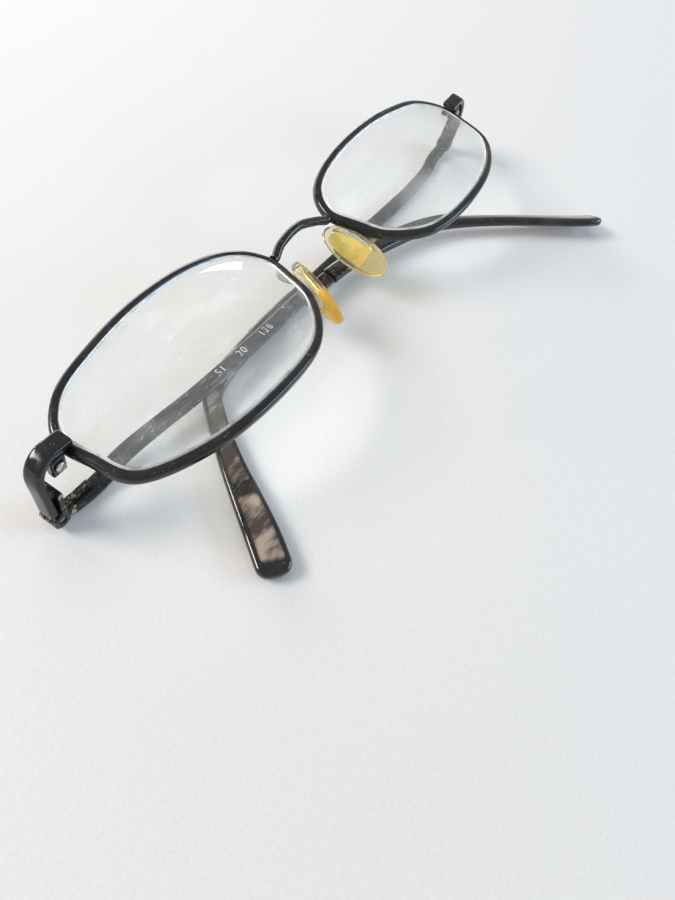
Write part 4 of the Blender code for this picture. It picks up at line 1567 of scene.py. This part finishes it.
    def arm(self, half: Half, outline: Outline, tree: Tree, finish: bpy.types.Material) -> bpy.types.Object:
        """Build the bent wire from the pad's box up to the back of the rim.

        Args:
            half: The half that it belongs to.
            outline: The lens outline, for the wire's seat.
            tree: The wire tree.
            finish: The wire's material.

        Returns:
            The new piece.
        """
        upper = self.lug_length / 2 + self.box_end_gap + self.box_wall
        rise = self.thickness / 2 + self.lug_height
        seat = Vector((outline.middle - outline.width / 2 + 0.1, self.seat_height, 0.0))
        seat.z = outline.sag(seat.x, seat.y) - self.rim_half_depth - self.seat_gap
        leave = self.place(upper + 1.5, 0.0, rise - 0.4)
        arrive = seat + Vector((0.0, -0.55, -1.55))
        points = spline([self.place(upper + self.seat_gap, 0.0, self.pivot()), leave,
                         (leave + arrive) / 2 + Vector((0.0, 0.0, -0.22)), arrive, seat], 70)
        line = polyline([half.world(point) for point in points])
        swell = line.data.attributes.new("swell", "FLOAT", "POINT")
        for index in range(len(points)):
            swell.data[index].value = 1.0 + 0.5 * max(0.0, 1.0 - (len(points) - 1 - index) / 6.0) ** 2
        piece = tree.grow(f"{half.side.word}_pad_wire", line, {
            "Radius": self.wire_radius * MM, "Sides": 20, "Material": finish})
        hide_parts(f"{half.side.word}_pad_arm")
        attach(piece, Body.FRONT.value)
        return piece

    def build(self, half: Half, outline: Outline, tree: Tree,
              finishes: dict[str, bpy.types.Material]) -> list[bpy.types.Object]:
        """Build the pad, its core plate and its arm over their solids.

        Args:
            half: The half that they belong to.
            outline: The lens outline, for the arm's seat.
            tree: The wire tree.
            finishes: Materials by name.

        Returns:
            The new pieces.
        """
        word = half.side.word
        moving = [self.soft(half, finishes[f"{word}_amber"]), self.plate(half, finishes[f"{word}_core"])]
        for piece in moving:
            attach(piece, PAD_BODY[half.side].value)
        return moving + [self.arm(half, outline, tree, finishes["steel"])]


@dataclass
class Temple:
    """One folded temple: a flat metal bar, its plastic tip and, on one, half-worn numbers."""

    points: Sequence[Place]
    tip_roll: float
    bar_start: float = 63.85
    pin_height: float = PIN_UP
    hinge_depth: float = 16.2
    bar_width: float = 3.0
    bar_thickness: float = 1.3
    bar_length: float = 68.5
    core_width: float = 1.7
    core_thickness: float = 0.7
    core_stop: float = 14.0
    sleeve_width: float = 3.5
    sleeve_thickness: float = 2.1
    paddle_width: float = 5.9
    paddle_length: float = 30.0
    gap: float = 0.3
    # Reach from the tip's end, and the dark gap, of the painted reflection and rub on the flat face
    wear_reach: float = 34.0
    wear_gap: float = 15.5
    numbers: str = ""
    numbers_at: float = 33.0
    numbers_height: float = 1.55
    tip_corners: int = 36
    bar_corners: int = 32

    def path(self, half: Half) -> list[Vector]:
        """Work out the temple's centre line from its hinge end to the end of its tip.

        Args:
            half: The half that the temple hinges on.

        Returns:
            Evenly spaced places, before the half's bend.
        """
        start = Vector((self.bar_start, self.pin_height, -self.hinge_depth + self.bar_thickness / 2))
        second = start + Vector((-5.4, -0.4, 0.0))
        return even(spline([start, second] + [half.unplace(p) for p in self.points], 1200), 900)

    @staticmethod
    def part(path: list[Vector], first: float, last: float, count: int) -> list[Vector]:
        """Return even points between two distances along a path.

        Args:
            path: The path.
            first: Distance of the first point.
            last: Distance of the last point.
            count: How many points to return.

        Returns:
            The evenly spaced points.
        """
        total = Temple.span(path)
        made = []
        for step in range(count):
            place = min(max((first + (last - first) * step / (count - 1)) / total, 0.0), 1.0)
            place *= len(path) - 1
            index = min(int(place), len(path) - 2)
            made.append(path[index].lerp(path[index + 1], place - index))
        return made

    @staticmethod
    def span(path: list[Vector]) -> float:
        """Return a path's length."""
        return sum((b - a).length for a, b in zip(path, path[1:]))

    def bar(self, half: Half, finish: bpy.types.Material) -> bpy.types.Object:
        """Build the metal bar and the start of its core.

        Args:
            half: The half that the temple hinges on.
            finish: The bar's material.

        Returns:
            The new piece.
        """
        path = self.path(half)
        run = stations(self.part(path, 0.0, self.bar_length, 150))
        section = rounded(self.bar_width / 2, self.bar_thickness / 2, self.bar_corners, 4.6)
        rings = [run[0].ring(section, 0.0, 0.22), run[0].ring(section, 0.0, 0.06, 0.12)]
        rings += [station.ring(section) for station in run[1:-1]]
        rings += [run[-1].ring(section, 0.0, 0.05, -0.12), run[-1].ring(section, 0.0, 0.18)]
        core = rounded(self.core_width / 2, self.core_thickness / 2, self.bar_corners, 3.0)
        for station in stations(self.part(path, self.bar_length, self.bar_length + 5.0, 6)):
            rings.append(station.ring(core))
        rings = [[half.world(point) for point in ring] for ring in rings]
        piece = skin(f"{half.side.word}_temple_bar", rings, finish, sharp=50)
        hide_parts(f"{half.side.word}_temple")
        return piece

    def tip(self, half: Half, finish: bpy.types.Material) -> bpy.types.Object:
        """Build the plastic tip, hooked down and widening to a flat rounded end.

        Args:
            half: The half that the temple hinges on.
            finish: The tip's material.

        Returns:
            The new piece.
        """
        path = self.path(half)
        total = self.span(path)
        start = self.bar_length + self.gap * 0.4
        core_run = total - self.core_stop - self.bar_length
        count = 190
        run = stations(self.part(path, start, total, count))
        bore = rounded(self.core_width / 2 + 0.25, self.core_thickness / 2 + 0.25, self.tip_corners, 3.0)
        rings = [run[4].ring(bore), run[0].ring(bore, 0.0, 0.0, 0.05)]
        # worn holds each corner's share of the painted reflection and rub on the flat face
        worn = [0.0] * 2 * self.tip_corners
        for index, station in enumerate(run):
            distance = start + (total - start) * index / (count - 1)
            widen = ease((distance - (total - self.paddle_length)) / (self.paddle_length * 0.85))
            half_width = (self.sleeve_width + (self.paddle_width - self.sleeve_width) * widen) / 2
            half_thickness = self.sleeve_thickness / 2
            lip = min(1.0, (distance - start) / 0.5)
            half_width *= 0.90 + 0.10 * math.sqrt(1 - (1 - lip) ** 2)
            half_thickness *= 0.84 + 0.16 * math.sqrt(1 - (1 - lip) ** 2)
            to_end = (total - distance) / (self.paddle_width * 0.40)
            if to_end < 1.0:
                close = math.sqrt(max(1.0 - (1.0 - to_end) ** 2, 0.0))
                half_width *= 0.34 + 0.66 * close
                half_thickness *= 0.45 + 0.55 * close
            roll = math.radians(self.tip_roll) * ease((distance - self.bar_length) / core_run)
            pairs = rounded(half_width, half_thickness, self.tip_corners, 3.4)
            rings.append(station.ring(pairs, roll))
            worn += [self.face_wear(pair, half_width, half_thickness, total - distance) for pair in pairs]
        end = rounded(half_width * 0.55, half_thickness * 0.5, self.tip_corners, 3.0)
        rings.append(run[-1].ring(end, roll, 0, 0.02))
        worn += [0.0] * self.tip_corners
        rings = [[half.world(point) for point in ring] for ring in rings]
        piece = skin(f"{half.side.word}_temple_sleeve", rings, finish, sharp=50)
        # Store the painted reflection and rub share for the sleeve's material
        reflection_marks = piece.data.attributes.new("worn_face", "FLOAT", "POINT")
        reflection_marks.data.foreach_set("value", worn)
        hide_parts(f"{half.side.word}_temple_tip")
        return piece

    def face_wear(self, pair: tuple[float, float], half_width: float, half_thickness: float,
                  to_end: float) -> float:
        """Return how strongly the painted reflection and rub cover the flat face at one corner of a section.

        Args:
            pair: The corner's (width, thickness) place.
            half_width: The section's half width.
            half_thickness: The section's half thickness.
            to_end: Distance to the end of the tip.

        Returns:
            0 for plain plastic, up to 1 under the painted reflection and rub.
        """
        across = abs(pair[0]) / half_width
        if abs(pair[1]) / half_thickness < 0.86:
            return 0.0
        share = 1.0 - ease((across - 0.52) / 0.36)
        patch = ease((to_end - 0.9) / 2.4) * (1.0 - ease((to_end - self.wear_reach) / 3.0))
        gap = 1.0 - ease(1.0 - abs(to_end - self.wear_gap) / 2.2)
        return share * patch * gap

    def print_numbers(self, half: Half, finish: bpy.types.Material) -> bpy.types.Object:
        """Lay the size numbers along the bar's front face as thin raised print.

        Args:
            half: The half that the temple hinges on.
            finish: The print's material.

        Returns:
            The new piece.
        """
        words = bpy.data.curves.new("size_numbers", "FONT")
        words.body = self.numbers
        words.size = self.numbers_height * 1.35
        words.extrude = 0.015
        words.space_character = 1.12
        words.align_y = "CENTER"
        words.resolution_u = 3
        item = bpy.data.objects.new("size_numbers", words)
        bpy.context.scene.collection.objects.link(item)
        bpy.context.view_layer.update()
        graph = bpy.context.evaluated_depsgraph_get()
        mesh = bpy.data.meshes.new_from_object(item.evaluated_get(graph), depsgraph=graph)
        bpy.data.objects.remove(item, do_unlink=True)
        path = self.path(half)
        count = 400
        run = stations(self.part(path, 0.0, self.bar_length, count))
        for corner in mesh.vertices:
            place = (self.numbers_at + corner.co.x) / self.bar_length * (count - 1)
            index = min(int(place), count - 2)
            one, two = run[index], run[index + 1]
            middle = one.place.lerp(two.place, place - index)
            lift = self.bar_thickness / 2 + 0.006 + corner.co.z
            corner.co = half.world(middle + one.width * corner.co.y - one.thickness * lift)
        mesh.materials.clear()
        mesh.materials.append(finish)
        for face in mesh.polygons:
            face.material_index = 0
        made = bmesh.new()
        made.from_mesh(mesh)
        bmesh.ops.remove_doubles(made, verts=made.verts, dist=1e-7)
        bpy.data.meshes.remove(mesh)
        piece = as_object(f"{half.side.word}_size_numbers", made, finish, 30)
        return piece

    def build(self, half: Half, finishes: dict[str, bpy.types.Material]) -> list[bpy.types.Object]:
        """Build the temple's pieces over their solids.

        Args:
            half: The half that the temple hinges on.
            finishes: Materials by name.

        Returns:
            The new pieces.
        """
        made = [self.bar(half, finishes["temple_enamel"]), self.tip(half, finishes["sleeve"])]
        if self.numbers:
            made.append(self.print_numbers(half, finishes["ink"]))
        for piece in made:
            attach(piece, TEMPLE_BODY[half.side].value)
        return made


@dataclass
class Screws:
    """The six slotted screws: two rim closing screws, two hinge screws and two pad screws."""

    head_radius: float = 0.95
    head_height: float = 0.45
    pin_out: float = PIN_OUT
    pin_back: float = PIN_BACK
    leaf_top: float = 4.5
    knuckle_gap: float = 0.15
    pad_head_radius: float = 0.72
    pad_head_height: float = 0.35
    sides: int = 36

    def pattern(self) -> bpy.types.Object:
        """Make one screw of unit head radius and height: a domed slotted head on a shank.

        Returns:
            The temporary object that the tree repeats.
        """
        made = bmesh.new()
        rows = []
        for radius, height in ((0.60, -7.0), (0.64, -6.8), (0.64, 0.0), (0.97, 0.0), (1.0, 0.06),
                               (1.0, 0.50), (0.96, 0.68), (0.84, 0.84), (0.62, 0.95), (0.3, 1.0)):
            row = []
            for step in range(self.sides):
                turn = 2 * math.pi * step / self.sides
                row.append(made.verts.new((radius * math.cos(turn), radius * math.sin(turn), height)))
            rows.append(row)
        join_rows(made, rows)
        bmesh.ops.recalc_face_normals(made, faces=made.faces)
        mesh = bpy.data.meshes.new("screw_pattern")
        made.to_mesh(mesh)
        made.free()
        item = bpy.data.objects.new("screw_pattern", mesh)
        slot = bmesh.new()
        box_mesh(slot, (-1.3, -0.15, 0.45), (1.3, 0.15, 1.4), 0.02)
        slot_mesh = bpy.data.meshes.new("screw_slot")
        slot.to_mesh(slot_mesh)
        slot.free()
        tool = bpy.data.objects.new("screw_slot", slot_mesh)
        for thing in (item, tool):
            bpy.context.scene.collection.objects.link(thing)
        cut = item.modifiers.new("slot", "BOOLEAN")
        cut.operation, cut.solver, cut.object = "DIFFERENCE", "EXACT", tool
        graph = bpy.context.evaluated_depsgraph_get()
        carved = bpy.data.meshes.new_from_object(item.evaluated_get(graph), depsgraph=graph)
        item.modifiers.remove(cut)
        item.data = carved
        bpy.data.objects.remove(tool, do_unlink=True)
        return item

    def places(self, ends: EndPieces, halves: Sequence[Half], pads: dict[Side, Pad]
               ) -> list[tuple[Vector, Vector, float, tuple[float, float]]]:
        """Work out where each screw sits.

        Args:
            ends: The end pieces, for the closing screws' places.
            halves: Both halves.
            pads: The pads by side.

        Returns:
            (place, direction, slot turn, (radius, height)) for each screw, in world places.
        """
        made = []
        low, high = ends.corners()
        out, front = (low.x + high.x) / 2, (low.z + high.z) / 2
        size = (self.head_radius, self.head_height)
        for number, half in enumerate(halves):
            seat = low.y - 0.15
            start = half.world((out, seat, front))
            made.append((start, half.world((out, seat - 1.0, front)) - start, 40.0 + 75 * number, size))
            seat = self.leaf_top + self.knuckle_gap
            start = half.world((self.pin_out, seat, -self.pin_back))
            made.append((start, half.world((self.pin_out, seat + 1.0, -self.pin_back)) - start,
                         15.0 + 50 * number, size))
            pad = pads[half.side]
            seat = pad.screw_outer() + pad.box_gap
            start = half.world(pad.place(0.0, seat, pad.pivot()))
            made.append((start, half.world(pad.place(0.0, seat + 1.0, pad.pivot())) - start,
                         65.0 - 40 * number, (self.pad_head_radius, self.pad_head_height)))
        return made

    def build(self, ends: EndPieces, halves: Sequence[Half], pads: dict[Side, Pad],
              finish: bpy.types.Material) -> bpy.types.Object:
        """Build all the screws as one piece of the front.

        Args:
            ends: The end pieces, for the closing screws' places.
            halves: Both halves.
            pads: The pads by side.
            finish: The screws' material.

        Returns:
            The new piece.
        """
        rows = self.places(ends, halves, pads)
        mesh = bpy.data.meshes.new("screw_places")
        mesh.from_pydata([tuple(row[0]) for row in rows], [], [])
        turn = mesh.attributes.new("turn", "FLOAT_VECTOR", "POINT")
        size = mesh.attributes.new("size", "FLOAT_VECTOR", "POINT")
        for index, (_, direction, spin, (radius, height)) in enumerate(rows):
            aim = direction.normalized().to_track_quat("Z", "Y").to_matrix()
            aim = aim @ Matrix.Rotation(math.radians(spin), 3, "Z")
            turn.data[index].vector = aim.to_euler()
            size.data[index].vector = (radius * MM, radius * MM, height * MM)
        source = bpy.data.objects.new("screw_places", mesh)
        bpy.context.scene.collection.objects.link(source)
        pattern = self.pattern()
        piece = screw_tree().grow("small_screws", source, {"Pattern": pattern, "Material": finish}, 35)
        bpy.data.objects.remove(pattern, do_unlink=True)
        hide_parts(*(f"{half.side.word}_{kind}" for half in halves
                             for kind in ("closing_screw", "hinge_screw", "pad_screw")))
        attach(piece, Body.FRONT.value)
        return piece


@dataclass
class Dust:
    """Settled dust on one body's pieces."""

    density: float
    seed: int
    smallest: float = 0.030
    largest: float = 0.105

    def build(self, name: str, over: Sequence[bpy.types.Object], body: Body, slot: str, tree: Tree,
              finish: bpy.types.Material) -> bpy.types.Object:
        """Scatter grains over pieces.

        Args:
            name: The piece's name.
            over: The pieces that carry the dust.
            body: The body that they ride on.
            slot: Not used.
            tree: The dust tree.
            finish: The dust's material.

        Returns:
            The new piece.
        """
        made = bmesh.new()
        for item in over:
            made.from_mesh(item.data)
        made.normal_update()
        bmesh.ops.delete(made, geom=[f for f in made.faces if f.normal.z < 0.25], context="FACES")
        mesh = bpy.data.meshes.new("dust_bed")
        made.to_mesh(mesh)
        made.free()
        source = bpy.data.objects.new("dust_bed", mesh)
        bpy.context.scene.collection.objects.link(source)
        piece = tree.grow(name, source, {
            "Density": self.density, "Seed": self.seed, "Smallest": self.smallest * MM,
            "Largest": self.largest * MM, "Material": finish})
        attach(piece, body.value)
        return piece


@dataclass
class Studio:
    """Pale floor, soft lamps and the camera."""

    floor_colour: tuple[float, float, float] = (0.74, 0.735, 0.725)
    camera_place: tuple[float, float, float] = (-0.09366, -0.03127, 0.09856)
    camera_turn: tuple[float, float, float] = (33.087, -10.768, -57.133)
    focal: float = 27.51

    def camera(self) -> None:
        """Set the camera."""
        data = bpy.data.cameras.new("camera")
        data.lens, data.sensor_width, data.sensor_fit = self.focal, 36.0, "AUTO"
        data.clip_start, data.clip_end = 0.005, 20.0
        item = bpy.data.objects.new("camera", data)
        item.location = self.camera_place
        item.rotation_euler = [math.radians(v) for v in self.camera_turn]
        bpy.context.scene.collection.objects.link(item)
        bpy.context.scene.camera = item

    def floor(self) -> None:
        """Lay the pale floor."""
        mesh = bpy.data.meshes.new("floor")
        reach = 3.0
        mesh.from_pydata([(-reach, -reach, 0), (reach, -reach, 0), (reach, reach, 0), (-reach, reach, 0)],
                         [], [(0, 1, 2, 3)])
        graph = Graph("pale_floor")
        speckle = graph.noise(1800, 3.0)
        lighter = tuple(v * 1.02 for v in self.floor_colour)
        darker = tuple(v * 0.975 for v in self.floor_colour)
        graph.principled(Base_Color=graph.blend(graph.band(speckle, 0.35, 0.65), darker, lighter),
                         Roughness=0.8)
        mesh.materials.append(graph.material)
        item = bpy.data.objects.new("floor", mesh)
        bpy.context.scene.collection.objects.link(item)

    @staticmethod
    def lamp(name: str, place: Sequence[float], aim: Sequence[float], size: tuple[float, float],
             watts: float, colour: Sequence[float]) -> None:
        """Add a soft rectangular lamp.

        Args:
            name: The lamp's name.
            place: Its place.
            aim: The place that it faces.
            size: Its sides in metres.
            watts: Its power.
            colour: Its colour.
        """
        data = bpy.data.lights.new(name, "AREA")
        data.shape = "RECTANGLE"
        data.size, data.size_y = size
        data.energy = watts
        data.color = colour
        item = bpy.data.objects.new(name, data)
        item.location = place
        item.rotation_euler = (Vector(aim) - Vector(place)).to_track_quat("-Z", "Y").to_euler()
        bpy.context.scene.collection.objects.link(item)

    def world(self) -> None:
        """Set a soft pale surround."""
        sky = bpy.data.worlds.new("surround")
        sky.use_nodes = True
        back = sky.node_tree.nodes["Background"]
        back.inputs["Color"].default_value = (1.0, 0.99, 0.97, 1.0)
        back.inputs["Strength"].default_value = 0.48
        bpy.context.scene.world = sky

    def build(self) -> None:
        """Set up the whole studio."""
        self.camera()
        self.floor()
        self.world()
        self.lamp("key_panel", (-0.50, 0.72, 0.60), (0.0, 0.0, 0.0), (0.45, 0.35), 8.8, (1.0, 0.97, 0.94))
        self.lamp("low_strip", (0.30, 0.62, 0.15), (0.0, 0.0, 0.01), (0.80, 0.14), 3.6, (1.0, 0.92, 0.84))
        self.lamp("cool_strip", (0.45, -0.62, 0.30), (0.0, 0.0, 0.0), (0.55, 0.16), 3.8, (0.45, 0.70, 1.0))
        bpy.context.scene.view_settings.view_transform = "Standard"


def hinge_spot(half: Half) -> Place:
    """Return the world place of one hinge."""
    return tuple(half.world((PIN_OUT, PIN_UP, -PIN_BACK)))


def make_finishes(right: Half, left: Half) -> dict[str, bpy.types.Material]:
    """Build every material.

    Args:
        right: The right half.
        left: The left half.

    Returns:
        Materials by name.
    """
    split = tuple(right.world(SPLIT_PLACE))
    front_wear = ((hinge_spot(right), 0.0026), (hinge_spot(left), 0.0022), (split, 0.0010))
    temple_wear = ((hinge_spot(right), 0.0052), (hinge_spot(left), 0.0042))
    return {
        "front_enamel": BlackEnamel(worn_at=front_wear).material("front_enamel"),
        "temple_enamel": BlackEnamel(colour=(0.012, 0.012, 0.013), gloss=0.16,
                                     worn_at=temple_wear).material("temple_enamel"),
        "clear": ClearLens().material("lens_clear"),
        "ground": GroundEdge().material("lens_ground_edge"),
        "steel": BareMetal(brass_share=0.2).material("rubbed_steel"),
        "worn": BlackEnamel(bare=(0.62, 0.55, 0.46), gloss=0.16, chip_level=0.56,
                            chip_patches=(0.20, 0.42)).material("rubbed_hinge"),
        "left_amber": AmberSilicone().material("clear_amber_silicone"),
        "right_amber": AmberSilicone(pale=(0.995, 0.93, 0.66), deep=(0.93, 0.60, 0.10), cloud=0.55).material(
            "deep_amber_silicone"),
        "left_core": PadCore().material("yellow_core_plate"),
        "right_core": PadCore((0.90, 0.92, 0.66), (0.86, 0.82, 0.44)).material("pale_core_plate"),
        "sleeve": BlackSleeve().material("black_sleeve"),
        "ink": WornInk().material("worn_numbers"),
        "dust": DustGrain().material("pale_dust"),
    }


def dress_kept_nodes(finishes: dict[str, bpy.types.Material]) -> None:
    """Give the kept hinge leaves and pad boxes their metal.

    Args:
        finishes: Materials by name.
    """
    metals = {"front_hinge_leaf": "worn", "temple_hinge_leaf": "worn", "pad_box": "steel"}
    for side in Side:
        for node, finish in metals.items():
            item = frame["nodes"][f"{side.word}_{node}"]
            for slot in item.material_slots:
                slot.material = finishes[finish]


def main() -> None:
    """Build the glasses and the studio, and report each piece."""
    logging.basicConfig(level=logging.INFO, format="%(name)s: %(message)s")
    Studio().build()
    right = Half(Side.RIGHT, (0.0, 0.0, 0.0))
    left = Half(Side.LEFT, LEFT_BEND)
    halves = (right, left)
    finishes = make_finishes(right, left)
    outline = Outline()
    wires = wire_tree()
    rims, lenses, ends = Rims(outline), Lenses(outline), EndPieces(outline)
    pads = {
        Side.RIGHT: Pad(out=7.4, down=3.9, back=6.0, splay=-22.0, flare=17.0, lean=7.5),
        Side.LEFT: Pad(out=8.0, down=2.5, back=5.3, splay=-12.0, flare=8.0, lean=6.5),
    }
    temples = {
        Side.RIGHT: Temple(RIGHT_TEMPLE_RUN, tip_roll=28.0, wear_reach=9.0, numbers="51     20      138"),
        Side.LEFT: Temple(LEFT_TEMPLE_RUN, tip_roll=8.0),
    }
    front: list[bpy.types.Object] = [Bridge(outline).build(right, left, wires, finishes["front_enamel"])]
    temple_pieces: dict[Side, list[bpy.types.Object]] = {}
    pad_pieces: list[bpy.types.Object] = []
    for half in halves:
        front.append(rims.build(half, finishes["front_enamel"]))
        front.append(lenses.build(half, finishes["clear"], finishes["ground"]))
        front += ends.build(half, finishes["front_enamel"])
        temple_pieces[half.side] = temples[half.side].build(half, finishes)
        pad_pieces += pads[half.side].build(half, outline, wires, finishes)
    screws = Screws().build(ends, halves, pads, finishes["steel"])
    dust = dust_tree()
    settled = [Dust(density=150000.0, seed=7).build(
        "front_dust", front, Body.FRONT, "enamel", dust, finishes["dust"])]
    for half in halves:
        sparse = Dust(density=90000.0, seed=11 + half.side.value, smallest=0.025, largest=0.08)
        settled.append(sparse.build(
            f"{half.side.word}_temple_dust", temple_pieces[half.side][:2], TEMPLE_BODY[half.side],
            "sleeve", dust, finishes["dust"]))
    dress_kept_nodes(finishes)
    both_temples = temple_pieces[Side.RIGHT] + temple_pieces[Side.LEFT]
    for piece in front + both_temples + pad_pieces + [screws] + settled:
        LOG.info("%s: %d faces", piece.name, len(piece.data.polygons))


if __name__ == "__main__":
    main()
